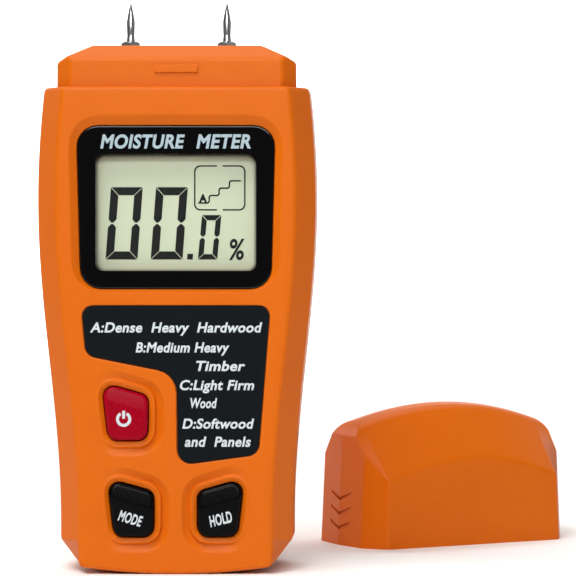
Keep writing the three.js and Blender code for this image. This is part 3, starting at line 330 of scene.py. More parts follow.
def shell_cavity(sign):
    """The space inside, from just beyond the parting plane."""
    return lofted([
        shell_outline(EDGE_WIDTH + WALL, WALL, sign * (FACE_Y - WALL)),
        shell_outline(SIDE_DRAFT + WALL, WALL, sign * (FACE_Y - EDGE_DEPTH - WALL / 2)),
        shell_outline(WALL, WALL, -sign * 0.5),
    ])


def neck(inset, foot):
    """The block that carries the pins: cut corners, slanted shoulders and long bevels under its top."""
    half, depth, top = NECK_HALF - inset, NECK_DEPTH - inset, NECK_TOP - inset
    across, down = NECK_SLOPE
    back, drop = NECK_BEVEL
    bm = block((-half, -depth, foot), (half, depth, top))
    cuts = [((half - NECK_EDGE / 2, -depth + NECK_EDGE / 2, 0), (1, -1, 0)),
            ((half - across / 2, 0, top - down / 2), (down, 0, across)),
            ((0, -depth + back / 2, top - drop / 2), (0, -drop, back))]
    for point, facing in cuts:
        for right in (1, -1):
            for front in (1, -1):
                spot = Vector((point[0] * right, point[1] * front, point[2]))
                trim(bm, spot, Vector((facing[0] * right, facing[1] * front, facing[2])))
    bmesh.ops.dissolve_limit(bm, angle_limit=0.01, verts=bm.verts, edges=bm.edges)
    if inset == 0:
        bmesh.ops.bevel(bm, geom=bm.edges[:], offset=0.6, affect="EDGES", segments=4, profile=0.5,
                        material=-1)
    bmesh.ops.recalc_face_normals(bm, faces=bm.faces)
    return bm


def half_of(bm, sign):
    """Keeps what lies on one side of the parting gap, closed."""
    trim(bm, (0, sign * PARTING, 0), (0, -sign, 0))
    bmesh.ops.recalc_face_normals(bm, faces=bm.faces)
    return bm


LENS = [(-20.0, 60.0, 4.4), (20.0, 60.0, 4.4), (20.9, 94.3, 4.4), (-20.9, 94.3, 4.4)]
HOLLOW = [(-21.7, 59.3, 6.2), (21.7, 59.3, 6.2), (22.6, 96.4, 6.4), (-22.6, 96.4, 6.4)]
LABEL = [(0.4, 22.9, 2.9), (17.4, 25.2, 2.6), (19.9, 56.4, 2.2), (-19.8, 56.4, 2.2), (-18.9, 46, 2.6),
         (0.2, 42.2, 5)]
KEY_SHAPE = [(-3.7, -5.5, 2.1), (4.5, -5.5, 2.1), (4.6, 3.8, 2.1), (-5.1, 6.5, 2.1)]
KEYS = {"power": (-10.4, 33.7, 1), "mode": (-9.2, 13.5, 1), "hold": (9.2, 13.5, -1)}
CASE_SCREWS = [(-20.5, 97.3), (20.5, 97.3), (-17, 8), (17, 8)]
SCREW_BORE = 1.35
BOARD_SCREWS = [(-18.3, 55.6), (18.3, 55.6), (-14.6, 24.4), (14.6, 24.4)]
PINS = (-10.4, 10.4)


def key_outline(key, grow):
    """A key's four-cornered outline, wider at the top; the key on the right is the mirror image."""
    x, z, hand = KEYS[key]
    corners = [(x + hand * u, z + v, radius) for u, v, radius in KEY_SHAPE]
    return arcs(corners if hand > 0 else corners[::-1], grow)


def hollow_rings():
    """The display's border: a rounded lip, a slope down to the lens, and straight walls down to its seat."""
    lip, seat = arcs(HOLLOW), arcs(LENS, 0.15)
    steps = [(-0.2, FACE_Y), (-0.08, 14.985), (0.02, 14.93), (0.1, 14.83), (0.88, 13.95), (0.97, 13.83), (1, 13.7),
             (1, 12.25)]
    return [[(a.x + (b.x - a.x) * share, -y, a.y + (b.y - a.y) * share) for a, b in zip(lip, seat)]
            for share, y in steps]


def surround_rings(key):
    """A dish that deepens towards the meter's middle, a ridge inside it, and a funnel to the key's hole."""
    x, z, hand = KEYS[key]
    steps = [(3.5, 0), (3.38, 0.02), (3.26, 0.09), (3.0, 0.34), (2.5, 0.72), (2.05, 0.98), (1.9, 1.0),
             (1.78, 0.92), (1.6, 0.42), (1.5, 0.2), (1.4, 0.12), (1.26, 0.1), (1.12, 0.15)]
    rings = []
    for grow, share in steps:
        ring = []
        for point in key_outline(key, grow):
            tilt = min(max((hand * (point.x - x) + 7.5) / 10.5, 0), 1)
            tilt = tilt * tilt * (3 - 2 * tilt)
            ring.append((point.x, -FACE_Y + 0.95 * share * tilt, point.y))
        rings.append(ring)
    for grow, y in ((0.6, 14.62), (0.35, 14.5), (0.22, 14.3), (0.2, 12.5)):
        rings.append([(point.x, -y, point.y) for point in key_outline(key, grow)])
    return rings


def front_shell():
    bm = bmesh.new()
    outside = skin(bm, shell_rings(-1))
    bmesh.ops.contextual_create(bm, geom=outside[0])
    pocket = [[(p.x, -y, p.y) for p in arcs(LABEL, grow)]
              for grow, y in ((0.4, FACE_Y), (0.28, 14.98), (0.18, 14.92), (0.14, 14.82), (0.14, 14.5))]
    features = [skin(bm, rings) for rings in (hollow_rings(), pocket, *map(surround_rings, KEYS))]
    for chains in features:
        bmesh.ops.contextual_create(bm, geom=chains[-1])
    bmesh.ops.triangle_fill(bm, edges=outside[-1] + [e for chains in features for e in chains[0]],
                            use_beauty=True, use_dissolve=False, normal=(0, -1, 0))
    bmesh.ops.recalc_face_normals(bm, faces=bm.faces)
    bar = block((-4.65, -13.45, 105.55), (4.65, -12.5, 107.25), 0.18)
    bm = carve(bm, "UNION", [half_of(neck(0, 101), -1), bar])
    # What stays inside: the seat behind the lens, the posts for both sets of screws, and the pins' ribs.
    seat = lofted([[(p.x, y, p.y) for p in arcs(LENS, 2)] for y in (-13.5, -10.85)])
    posts = [rod(2.9, -13.5, 1, x, z) for x, z in CASE_SCREWS]
    posts += [rod(2.2, -13.5, -6.2, x, z) for x, z in BOARD_SCREWS]
    ribs = [block((x - 5, -12, 103), (x + 5, 1, 105)) for x in PINS]
    inside = carve(shell_cavity(-1), "UNION", [neck(WALL, 98)])
    inside = carve(inside, "DIFFERENCE", [seat, *posts, *ribs])
    bores = [rod(SCREW_BORE, -7, 2, x, z) for x, z in CASE_SCREWS]
    bores += [rod(1.15, -11, -5, x, z) for x, z in BOARD_SCREWS]
    sockets = [pin_socket(x) for x in PINS]
    window = block((-17.6, -13, 63), (17.6, -9, 88.8))
    return carve(bm, "DIFFERENCE", [inside, window, *bores, *sockets])


def pin_socket(x):
    """Room for a brass insert, and the hole above it for the pin's thread."""
    return turned([(0, 100), (2.7, 100), (2.7, 109), (1.45, 109), (1.45, 115), (0, 115)], x, 0, 32)


orange_abs = spark_textured_abs("orange_spark_textured_abs", "#D46504", "#CF6002")
fit(front_shell(), "front_shell_moulding", orange_abs, "meter", ["front_shell"])


# Back shell: the same ABS, with wells for four screws and a sunk, ledged opening for the battery cover.
# A tongue along its edge stands inside the front shell and closes the parting line.
BAY_HALF = 11.2
BAY_Z = (12.6, 61.9)
COVER_HALF = 14.0
COVER_Z = (9.8, 64.7)
COVER = [(-COVER_HALF, COVER_Z[0], 2), (COVER_HALF, COVER_Z[0], 2), (COVER_HALF, COVER_Z[1], 2),
         (-COVER_HALF, COVER_Z[1], 2)]


def back_shell():
    bm = bmesh.new()
    outside = skin(bm, shell_rings(1))
    bmesh.ops.contextual_create(bm, geom=outside[0])
    opening = [[(p.x, y, p.y) for p in arcs(COVER, grow)]
               for grow, y in ((0.3, FACE_Y), (0.16, 14.97), (0.06, 14.88), (0, 14.7), (0, 12.97))]
    recess = skin(bm, opening)
    bmesh.ops.contextual_create(bm, geom=recess[-1])
    bmesh.ops.triangle_fill(bm, edges=outside[-1] + recess[0], use_beauty=True, use_dissolve=False,
                            normal=(0, 1, 0))
    bmesh.ops.recalc_face_normals(bm, faces=bm.faces)
    bm = carve(bm, "UNION", [half_of(neck(0, 101), 1)])
    tub = block((-BAY_HALF - 1.2, -1, BAY_Z[0] - 1.2), (BAY_HALF + 1.2, 14, BAY_Z[1] + 1.2))
    ledge = lofted([[(p.x, y, p.y) for p in arcs(COVER, 1.5)] for y in (11.9, 14)])
    posts = [rod(3.5, -1, 14, x, z) for x, z in CASE_SCREWS]
    ribs = [block((x - 5, -1, 103), (x + 5, 12, 105)) for x in PINS]
    inside = carve(shell_cavity(1), "UNION", [neck(WALL, 98)])
    inside = carve(inside, "DIFFERENCE", [tub, ledge, *posts, *ribs, tongue_root()])
    bay = block((-BAY_HALF, 0.2, BAY_Z[0]), (BAY_HALF, 14, BAY_Z[1]))
    bores = [rod(SCREW_BORE, -2, 6, x, z) for x, z in CASE_SCREWS]
    slots = [block((x - 2.3, 10, COVER_Z[0] - 1.6), (x + 2.3, 12.98, BAY_Z[0] + 1)) for x in (-8, 8)]
    tails = [block((x - 1.5, -2, 60.9), (x + 1.5, 1, BAY_Z[1])) for x in (-5.42, 5.42)]
    nail = rod(4, 14.2, 16, 0, COVER_Z[1] + 1.2, 48)
    sockets = [pin_socket(x) for x in PINS]
    wells = [screw_well(x, z) for x, z in CASE_SCREWS]
    bm = carve(bm, "DIFFERENCE", [inside, bay, nail, *wells, *bores, *slots, *tails, *sockets])
    return carve(bm, "UNION", [tongue()])


def screw_well(x, z):
    """The round well that sinks a screw head below the back, with a softened rim."""
    steps = [(2.5, 4.5), (2.5, 14.6), (2.6, 14.85), (2.75, 14.96), (2.95, FACE_Y), (2.95, FACE_Y + 0.4)]
    return lofted([[(x + u, y, z + v) for u, v in circle(radius, 40)] for radius, y in steps])


def rim_band(outer, front, back):
    """A band along the shell's edge, from an inset to 3.1 mm in, that ends below the neck."""
    band = lofted([shell_outline(outer, outer, y) for y in (front, back)])
    hollow = lofted([shell_outline(3.1, 3.1, y) for y in (-2, 3)])
    return carve(band, "DIFFERENCE", [hollow, block((-50, -5, SHOULDER_Z - 12), (50, 5, 150))])


def tongue_root():
    """The thicker edge of the wall that the tongue grows from."""
    return rim_band(WALL - 0.5, -1, 2)


def tongue():
    return carve(rim_band(2.3, -1.6, 1), "DIFFERENCE", [rod(3.2, -5, 5, x, z) for x, z in CASE_SCREWS])


fit(back_shell(), "back_shell_moulding", orange_abs, "meter", ["back_shell"])


# Display lens: an acrylic plate, printed gloss black except over the display, bonded into its seat.
# The cut edge of the plate catches the light as a thin bright line.
def black_printed_acrylic():
    """Acrylic over black ink: deep black with a sharp polish, and faint long dents that bend reflections."""
    material, tree, shader = surface("black_printed_acrylic", {
        "Base Color": linear("#020203"), "Roughness": 0.09, "IOR": 1.49})
    relief(tree, shader, clouds(tree, 60.0, 1.0), 0.05, 0.0002)
    return material


def clear_acrylic():
    """Unprinted acrylic: nearly invisible, with a clear reflection."""
    material, tree, shader = surface("clear_acrylic", {
        "Base Color": linear("#181A18"), "Roughness": 0.03, "IOR": 1.49, "Alpha": 0.04})
    uneven_gloss(tree, shader, clouds(tree, 120.0, 2.0), 0.02, 0.06)
    return material


WINDOW = [(-16.9, 63.75, 1.5), (16.9, 63.75, 1.5), (16.9, 88.4, 1.5), (-16.9, 88.4, 1.5)]


def plate(outline, front, back, edge):
    """A flat plate facing -y whose front edge is rounded."""
    steps = [(0, back), (0, front + edge), (-0.29 * edge, front + 0.29 * edge), (-edge, front)]
    return lofted([[(p.x, y, p.y) for p in arcs(outline, grow)] for grow, y in steps])


lens = plate(LENS, -13.8, -12.3, 0.3)
lens = carve(lens, "DIFFERENCE", [lofted([[(p.x, y, p.y) for p in arcs(WINDOW)] for y in (-15, -11)])])
black_acrylic = black_printed_acrylic()
fit(lens, "lens_printed_border", black_acrylic, "meter", ["display_lens"])
window = lofted([[(p.x, y, p.y) for p in arcs(WINDOW, -0.01)] for y in (-13.8, -12.9)])
fit(window, "lens_clear_window", clear_acrylic(), "meter")


# Printed lettering: pale grey ink, screen-printed on the lens.
# The words are plain ones that say what the instrument is.
def printed_ink(name, colour):
    """Screen-printed ink: flat and even, with a slightly uneven body."""
    material, tree, shader = surface(name, {"Base Color": linear(colour), "Roughness": 0.5, "IOR": 1.5,
                                             "Specular IOR Level": 0.25})
    relief(tree, shader, clouds(tree, 900.0, 2.0), 0.05, 0.00005)
    return material


def lettering(words, x, baseline, width, height, y, lean=0.2, bold=0.03, tilt=0.0):
    """One printed line facing -y, centred on x, standing on its baseline and fitted to a width and height."""
    text = bpy.data.curves.new("words", "FONT")
    text.body = words
    text.shear = lean
    text.bevel_depth = bold
    text.bevel_resolution = 1
    text.resolution_u = 5
    text.space_character = 1 + 2.2 * bold
    carrier = bpy.data.objects.new("words", text)
    bpy.context.scene.collection.objects.link(carrier)
    mesh = bpy.data.meshes.new_from_object(carrier.evaluated_get(bpy.context.evaluated_depsgraph_get()))
    bpy.data.objects.remove(carrier)
    bm = bmesh.new()
    bm.from_mesh(mesh)
    bpy.data.meshes.remove(mesh)
    across = [v.co.x for v in bm.verts]
    tall = max(v.co.y for v in bm.verts) + bold
    size = Vector((width / (max(across) - min(across)), height / tall, 0.008 / bold))
    bmesh.ops.translate(bm, vec=(-(max(across) + min(across)) / 2, bold, 0), verts=bm.verts)
    bmesh.ops.scale(bm, vec=size, verts=bm.verts)
    turn = Matrix.Rotation(pi / 2, 4, "X") @ Matrix.Rotation(tilt, 4, "Z")
    bmesh.ops.transform(bm, matrix=Matrix.Translation((x, y, baseline)) @ turn, verts=bm.verts)
    return bm


def joined(parts):
    """Several loose prints as one piece."""
    whole = bmesh.new()
    for bm in parts:
        mesh = bpy.data.meshes.new("print")
        bm.to_mesh(mesh)
        bm.free()
        whole.from_mesh(mesh)
        bpy.data.meshes.remove(mesh)
    return whole


grey_ink = printed_ink("pale_grey_ink", "#A3B5BD")
heading = joined([lettering("MOISTURE", -7.0, 89.5, 17.8, 3.0, -13.82, bold=0.034),
                  lettering("METER", 10.05, 89.5, 11.5, 3.0, -13.82, bold=0.034)])
fit(heading, "heading_print", grey_ink, "meter", even=False)


# Liquid crystal cell: two glass sheets with a grey-green reflector behind and dark segments between them.
# It is held in a white frame, and striped rubber strips carry the signals from the board.
def reflective_lcd():
    """The unlit cell: matt grey-green with a very fine grain from the reflector, under polished glass, and a
    painted shadow round its edge.
    """
    material, tree, shader = surface("reflective_lcd_glass", {"Roughness": 0.45, "IOR": 1.5,
                                                              "Specular IOR Level": 0.3})
    tint = two_tone(tree, clouds(tree, 1800.0, 2.0), "#D3DCBF", "#CFD8BA")
    # Painted shadow: the colour darkens over about 1 mm round the view, where the border ink in front of the glass
    # would shade it.
    middle = METER @ Vector((-0.1, 0, 75.95))
    evenly_lit = (14.9 * METRE, 1, 10.2 * METRE)
    place = add(tree, "ShaderNodeTexCoord").outputs["Object"]
    away = add(tree, "ShaderNodeVectorMath", {"operation": "SUBTRACT"}, {1: middle}, {0: place}).outputs[0]
    away = add(tree, "ShaderNodeVectorMath", {"operation": "ABSOLUTE"}, links={0: away}).outputs[0]
    away = add(tree, "ShaderNodeVectorMath", {"operation": "SUBTRACT"}, {1: evenly_lit}, {0: away}).outputs[0]
    away = add(tree, "ShaderNodeVectorMath", {"operation": "MAXIMUM"}, {1: (0, 0, 0)}, {0: away}).outputs[0]
    away = add(tree, "ShaderNodeVectorMath", {"operation": "LENGTH"}, links={0: away}).outputs["Value"]
    edge = add(tree, "ShaderNodeMapRange", {"interpolation_type": "SMOOTHSTEP"},
               {"From Min": 1.3 * METRE, "From Max": 2.4 * METRE}, {"Value": away})
    shade = add(tree, "ShaderNodeMix", {"data_type": "RGBA"}, links={0: edge.outputs["Result"], 6: tint})
    # The near-black colour of the painted shadow.
    shade.inputs[7].default_value = linear("#0A0C0A")
    tree.links.new(shade.outputs[2], shader.inputs["Base Color"])
    return material


GLASS_Y = -10.55
DIGIT_Y = GLASS_Y - 0.05


def thickened(bm):
    """Gives a flat print a thickness of 0.02 mm."""
    bmesh.ops.recalc_face_normals(bm, faces=bm.faces)
    sheet = bmesh.ops.extrude_face_region(bm, geom=bm.faces[:])["geom"]
    moved = [v for v in sheet if isinstance(v, bmesh.types.BMVert)]
    bmesh.ops.translate(bm, vec=(0, 0.02, 0), verts=moved)
    bmesh.ops.recalc_face_normals(bm, faces=bm.faces)
    return bm


def bar_shape(points):
    """A thin print from the corners of a segment, facing -y."""
    bm = bmesh.new()
    corners = [bm.verts.new((x, DIGIT_Y, z)) for x, z in points]
    bmesh.ops.contextual_create(bm, geom=corners)
    return thickened(bm)


def zero(x, z, width, height, stroke, lean):
    """A seven-segment nought: six mitred bars with hair gaps, leaning to the right."""
    gap = 0.1
    middle = height / 2
    flat = [(gap, 0), (width - gap, 0), (width - stroke - gap, stroke), (stroke + gap, stroke)]
    upright = [(0, gap), (stroke, stroke + gap), (stroke, middle - stroke * 0.5),
               (stroke * 0.62, middle - gap * 1.5), (stroke * 0.38, middle - gap * 1.5),
               (0, middle - stroke * 0.5)]
    bars = [flat, [(u, height - v) for u, v in flat]]
    for mirror_x in (False, True):
        for mirror_z in (False, True):
            bars.append([((width - u if mirror_x else u), (height - v if mirror_z else v))
                         for u, v in upright])
    return [bar_shape([(x + u + lean * v / height, z + v) for u, v in bar]) for bar in bars]


def line(points, thick):
    """A thin drawn line with mitred bends."""
    made = []
    for (x1, z1), (x2, z2) in zip(points, points[1:]):
        across = Vector((z1 - z2, x2 - x1)).normalized() * thick / 2
        along = Vector((x2 - x1, z2 - z1)).normalized() * thick / 2
        a, b = Vector((x1, z1)) - along, Vector((x2, z2)) + along
        made.append(bar_shape([a + across, a - across, b - across, b + across]))
    return made


def level_icon():
    """A rounded frame, open in the middle of its top and bottom, round a staircase for the wood group."""
    right = arcs([(9.9, 76.7, 0), (14.45, 76.7, 1.2), (14.45, 86.0, 1.2), (9.9, 86.0, 0)], closed=False)
    left = [(18.3 - x, z) for x, z in right]
    stairs = arcs([(4.7, 78.15, 0), (6.9, 78.15, 0.5), (6.9, 79.75, 0.5), (9.0, 79.75, 0.5), (9.0, 81.3, 0.5),
                   (11.2, 81.3, 0.5), (11.2, 82.85, 0.5), (13.5, 82.85, 0)], closed=False)
    return [*line(right, 0.3), *line(left, 0.3), *line(stairs, 0.3)]


DIGIT_FOOT = 66.2
marks = [*(bar for x in (-15.05, -5.5) for bar in zero(x, DIGIT_FOOT, 6.75, 15.3, 1.7, 1.15)),
         bar_shape([(2.2, DIGIT_FOOT), (3.4, DIGIT_FOOT), (3.5, DIGIT_FOOT + 1.2), (2.3, DIGIT_FOOT + 1.2)]),
         *zero(4.5, DIGIT_FOOT, 4.1, 9.4, 1.12, 0.9),
         *level_icon(), lettering("A", 5.6, 78.3, 1.7, 1.75, DIGIT_Y, lean=0, bold=0.06),
         lettering("%", 12.75, 66.1, 3.3, 4.5, DIGIT_Y, lean=0.12, bold=0.02)]
segment_black = printed_ink("lcd_segment_black", "#0C0E0C")
fit(joined(marks), "lcd_segments", segment_black, "meter", even=False)
lcd = block((-19, GLASS_Y, 60.8), (19, GLASS_Y + 2, 91), 0.15)
fit(lcd, "lcd_cell", reflective_lcd(), "meter", ["lcd_glass"])


# Legend label: matte black polycarbonate with white print, stuck in a shallow pocket of the face.
# It lists the groups of wood that the mode key steps through.
def matte_polycarbonate():
    """Textured polycarbonate film: near black with a velvety grain that greys it at low angles."""
    material, tree, shader = surface("matte_black_polycarbonate", {
        "Base Color": linear("#060C10"), "Roughness": 0.62, "IOR": 1.58, "Specular IOR Level": 0.08})
    relief(tree, shader, clouds(tree, 3200.0, 2.0), 0.12, 0.0001)
    return material


fit(plate(LABEL, -14.9, -14.55, 0.08), "legend_label_film", matte_polycarbonate(), "meter",
    ["legend_label"])
rows = [("A:Dense  Heavy  Hardwood", 0.1, 50.8, 36.2), ("B:Medium Heavy", 1.45, 46.6, 19.7),
        ("Timber", 9.45, 42.7, 10.3), ("C:Light Firm", 8.7, 38.7, 15.6), ("Wood", 5.9, 34.9, 5.6),
        ("D:Softwood", 8.95, 30.6, 15.1), ("and  Panels", 8.85, 26.8, 13.9)]
white_ink = printed_ink("white_ink", "#C9D1D5")
legend = joined([lettering(words, x, z, width, 2.15, -14.915, bold=0.028) for words, x, z, width in rows])
fit(legend, "legend_print", white_ink, "meter", even=False)


# Keys: moulded plastic caps, 0.75 mm proud, whose faces slope back above a soft crease.
# A flange behind the face keeps each in its hole, and a stem presses the switch on the board.
def key_plastic(name, colour, rough):
    """Semi-gloss moulded plastic with a faint orange peel, which softens the highlights along the edges."""
    material, tree, shader = surface(name, {"Base Color": linear(colour), "Roughness": rough, "IOR": 1.5,
                                             "Specular IOR Level": 0.08})
    peel = clouds(tree, 1400.0, 2.0)
    relief(tree, shader, peel, 0.08, 0.0001)
    uneven_gloss(tree, shader, peel, rough - 0.05, rough + 0.05)
    return material


KEY_FRONT = -15.75


def key_cap(key):
    x, z, hand = KEYS[key]
    steps = [(0, -12.6), (0, -15.1), (-0.05, -15.33), (-0.2, -15.56), (-0.46, -15.7), (-0.8, KEY_FRONT)]
    bm = lofted([[(p.x, y, p.y) for p in key_outline(key, grow)] for grow, y in steps])
    # The crease runs parallel to the slanted upper edge.
    lean = Vector((1, 0, -0.28 * hand)).normalized()
    upward = Vector((-lean.z, 0, lean.x))
    crease = Vector((x, 0, z + 1.6))
    for offset in (-0.35, 0, 0.35):
        bmesh.ops.bisect_plane(bm, geom=bm.verts[:] + bm.edges[:] + bm.faces[:],
                               plane_co=crease + upward * offset, plane_no=upward)
    for vert in bm.verts:
        above = (vert.co - crease).dot(upward)
        if vert.co.y < -14.5 and above > -0.1:
            vert.co.y += 0.04 if above < 0.2 else 0.19 * above
    flange = [[(p.x, y, p.y) for p in key_outline(key, 0.6)] for y in (-12.7, -11.7)]
    stem = rod(1.6, -11.8, -10.05, x, z)
    return carve(bm, "UNION", [lofted(flange), stem])


def power_symbol(x, z):
    """A ring open at the top with a bar standing in the gap."""
    bm = bmesh.new()
    y = KEY_FRONT - 0.02
    gap = 0.5
    start = [bm.verts.new((x + r * math.sin(gap), y, z + r * math.cos(gap))) for r in (0.98, 1.6)]
    edge = bm.edges.new(start)
    bmesh.ops.spin(bm, geom=[*start, edge], cent=(x, y, z), axis=(0, 1, 0), angle=2 * (pi - gap), steps=40)
    bar = [bm.verts.new((x + u, y, z + v)) for u, v in ((-0.3, 0.1), (0.3, 0.1), (0.3, 1.75), (-0.3, 1.75))]
    bmesh.ops.contextual_create(bm, geom=bar)
    return thickened(bm)


red_plastic = key_plastic("red_moulded_key_plastic", "#96001A", 0.27)
black_plastic = key_plastic("black_moulded_key_plastic", "#040405", 0.27)
PRINT_Y = KEY_FRONT - 0.01
key_prints = {"power": power_symbol(-10.85, 32.65),
              "mode": lettering("MODE", -9.75, 10.75, 5.0, 2.3, PRINT_Y, lean=0.12, tilt=-0.29),
              "hold": lettering("HOLD", 9.75, 10.55, 4.8, 2.4, PRINT_Y, lean=0.12, tilt=0.24)}
for key, plastic in (("power", red_plastic), ("mode", black_plastic), ("hold", black_plastic)):
    fit(key_cap(key), key + "_key_cap", plastic, key + "_key", [key + "_button"])
    fit(key_prints[key], key + "_key_print", white_ink, key + "_key", even=False)


# Pins: hardened steel turned to a point, with a hexagonal collar for a spanner.
# Each is screwed through the top of the neck into a brass insert.
def ground_steel():
    """Turned and polished steel: bright, with fine rings round the pin that spread the highlight along it."""
    material, tree, shader = surface("ground_steel", {"Base Color": linear("#B4B6B6"), "Metallic": 1.0,
                                                      "Roughness": 0.22})
    place = add(tree, "ShaderNodeTexCoord").outputs["Object"]
    # Turning marks every 0.24 mm along the pin, coarser than the real ones.
    rings = add(tree, "ShaderNodeTexWave", {"bands_direction": "Z"}, {"Scale": 1300.0, "Distortion": 0.6},
                {"Vector": place})
    relief(tree, shader, rings.outputs["Fac"], 0.12, 0.00003)
    return material


def pin(x):
    foot, tip = NECK_TOP + 0.05, NECK_TOP + 10.3
    stem = turned([(0, 101.8), (0.85, 101.8), (1.2, 102.3), (1.2, foot + 0.4), (0.95, foot + 1.9),
                   (0.9, foot + 2.6), (0.84, foot + 2.9), (0.86, foot + 3.2), (0.97, tip - 4.5),
                   (0.94, tip - 4.3), (0.6, tip - 2.4), (0.1, tip - 0.2), (0, tip)], x, 0)
    across = 4 / math.sqrt(3)
    hexagon = [(x + across * math.sin(pi * i / 3), across * math.cos(pi * i / 3)) for i in range(6)]
    collar = lofted([[(u, v, z) for u, v in hexagon] for z in (foot, foot + 1.6)])
    crown = turned([(0, foot - 1), (2.4, foot - 1), (2.4, foot + 0.9), (2.0, foot + 1.3), (1.4, foot + 1.6),
                    (0, foot + 1.6)], x, 0)
    return carve(stem, "UNION", [carve(collar, "INTERSECT", [crown])])


pin_steel = ground_steel()
for side, x in zip(("left", "right"), PINS):
    fit(pin(x), side + "_electrode_pin", pin_steel, "meter", [side + "_pin"])


# Case screws: zinc-plated steel pan heads with a cross recess, sunk in the wells of the back shell.
# They pull the two shells together by the posts inside the front one.
def bright_metal(name, colour, rough):
    """Plated or turned metal: bright and slightly blotchy, as where a plating is thicker."""
    material, tree, shader = surface(name, {
        "Base Color": linear(colour), "Metallic": 1.0, "Roughness": rough})
    uneven_gloss(tree, shader, clouds(tree, 1100.0, 3.0), rough - 0.08, rough + 0.12)
    return material


def case_screw(x, z):
    seat = 4.55
    profile = [(0, seat - 10.5), (0.45, seat - 10.5), (1.1, seat - 9.4), (1.1, seat), (2.1, seat),
               (2.1, seat + 0.55), (1.95, seat + 0.95), (1.6, seat + 1.3), (1.1, seat + 1.46),
               (0, seat + 1.5)]
    bm = turned(profile, 0, 0, 40)
    bmesh.ops.rotate(bm, cent=(0, 0, 0), matrix=Matrix.Rotation(-pi / 2, 3, "X"), verts=bm.verts)
    bmesh.ops.translate(bm, vec=(x, 0, z), verts=bm.verts)
    cross = [block((x - a, seat + 0.5, z - b), (x + a, seat + 3, z + b))
             for a, b in ((1.2, 0.27), (0.27, 1.2))]
    return carve(bm, "DIFFERENCE", cross)


screw_zinc = bright_metal("zinc_plated_steel", "#BFC3C9", 0.3)
for i, (x, z) in enumerate(CASE_SCREWS, 1):
    fit(case_screw(x, z), f"pan_head_screw_{i}", screw_zinc, "meter", [f"case_screw_{i}"])


# Battery cover: a flat ABS lid sunk in the back, hooked at its lower edge and snapped shut at its upper one.
# Four shrinking grooves under the thumb notch show where to push.
def battery_cover():
    steps = [(-0.3, 13.05), (-0.3, 14.5), (-0.36, 14.72), (-0.5, 14.86), (-0.72, 14.9)]
    bm = lofted([[(p.x, y, p.y) for p in arcs(COVER, grow)] for grow, y in steps])
    hooks = []
    low = COVER_Z[0] - 1
    for left in (-10, 6):
        hooks.append(block((left, 11.95, low), (left + 4, 12.9, low + 2.9), 0.15))
        hooks.append(block((left, 12.2, low + 1.6), (left + 4, 13.6, low + 2.9)))
    bm = carve(bm, "UNION", hooks)
    grooves = []
    for i in range(4):
        z = COVER_Z[1] - 4 - 1.6 * i
        half = 5 - 0.6 * i
        grooves.append(block((-half, 14.35, z - 0.4), (half, 15.5, z + 0.4), 0.2))
    return carve(bm, "DIFFERENCE", grooves)


fit(battery_cover(), "battery_cover_moulding", orange_abs, "battery_door",
    ["battery_cover"])


# Cells and springs: two AAA cells in printed film sleeves, one each way up.
# Barrel-shaped springs of nickel-plated steel wire press them against their contacts.
CELL_X = 5.425
CELL_Y = 5.8
BAND_FOOT = 46  # height of the copper-coloured band's lower edge


def cell_sleeve():
    """Shrink film over a steel can: glossy, dark blue, with a plain copper-coloured band at the top."""
    material, tree, shader = surface("printed_film_sleeve", {"Roughness": 0.25, "IOR": 1.5, "Coat Weight": 0.4,
                                                             "Coat Roughness": 0.08})
    place = add(tree, "ShaderNodeTexCoord").outputs["Object"]
    height = add(tree, "ShaderNodeSeparateXYZ", links={"Vector": place})
    band = add(tree, "ShaderNodeMapRange", {"interpolation_type": "STEPPED"},
               {"From Min": BAND_FOOT * METRE, "From Max": (BAND_FOOT + 0.1) * METRE, "Steps": 1.0},
               {"Value": height.outputs["Z"]})
    tint = two_tone(tree, band.outputs["Result"], "#20303F", "#9C6B3C")
    tree.links.new(tint, shader.inputs["Base Color"])
    return material


def cell(x, foot, nub_up):
    length, radius = 44.5, 5.25
    profile = [(0, 0), (4.4, 0), (4.75, 0.05), (5.1, 0.2), (radius, 0.55), (radius, length - 1.5),
               (5.1, length - 1.1), (4.6, length - 0.95), (4.2, length - 1.0), (1.9, length - 0.9),
               (1.9, length - 0.15), (1.75, length), (0, length)]
    if not nub_up:
        profile = [(r, length - z) for r, z in reversed(profile)]
    return turned([(r, foot + z) for r, z in profile], x, CELL_Y, 56)


def wire_spring(x, foot):
    """Three turns of 0.6 mm wire, widest in the middle."""
    bm = bmesh.new()
    steps = 90
    wire = bmesh.ops.create_circle(bm, cap_ends=False, radius=0.3, segments=10)["verts"]
    ring = [v.co.copy() for v in wire]
    bm.clear()
    rings = []
    for i in range(steps + 1):
        share = i / steps
        angle = 6 * pi * share
        reach = 3.5 - 1.3 * abs(2 * share - 1)
        outward = Vector((math.cos(angle), math.sin(angle), 0))
        centre = Vector((x, CELL_Y, foot + 0.6 + 2.1 * share)) + outward * reach
        rings.append([centre + outward * v.x + Vector((0, 0, v.y)) for v in ring])
    bm.free()
    return lofted(rings)


sleeve = cell_sleeve()
for side, x, foot, nub_up in (("left", -CELL_X, 16.65, True), ("right", CELL_X, 13.35, False)):
    fit(cell(x, foot, nub_up), side + "_cell_can", sleeve, "meter", [side + "_cell"], sharp=40)
spring_steel = bright_metal("nickel_plated_spring_steel", "#B9B6AE", 0.26)
for end, x, foot in (("lower", -CELL_X, 13.3), ("upper", CELL_X, 57.9)):
    fit(wire_spring(x, foot), end + "_coil_spring", spring_steel, "meter",
        [end + "_spring"], even=False)


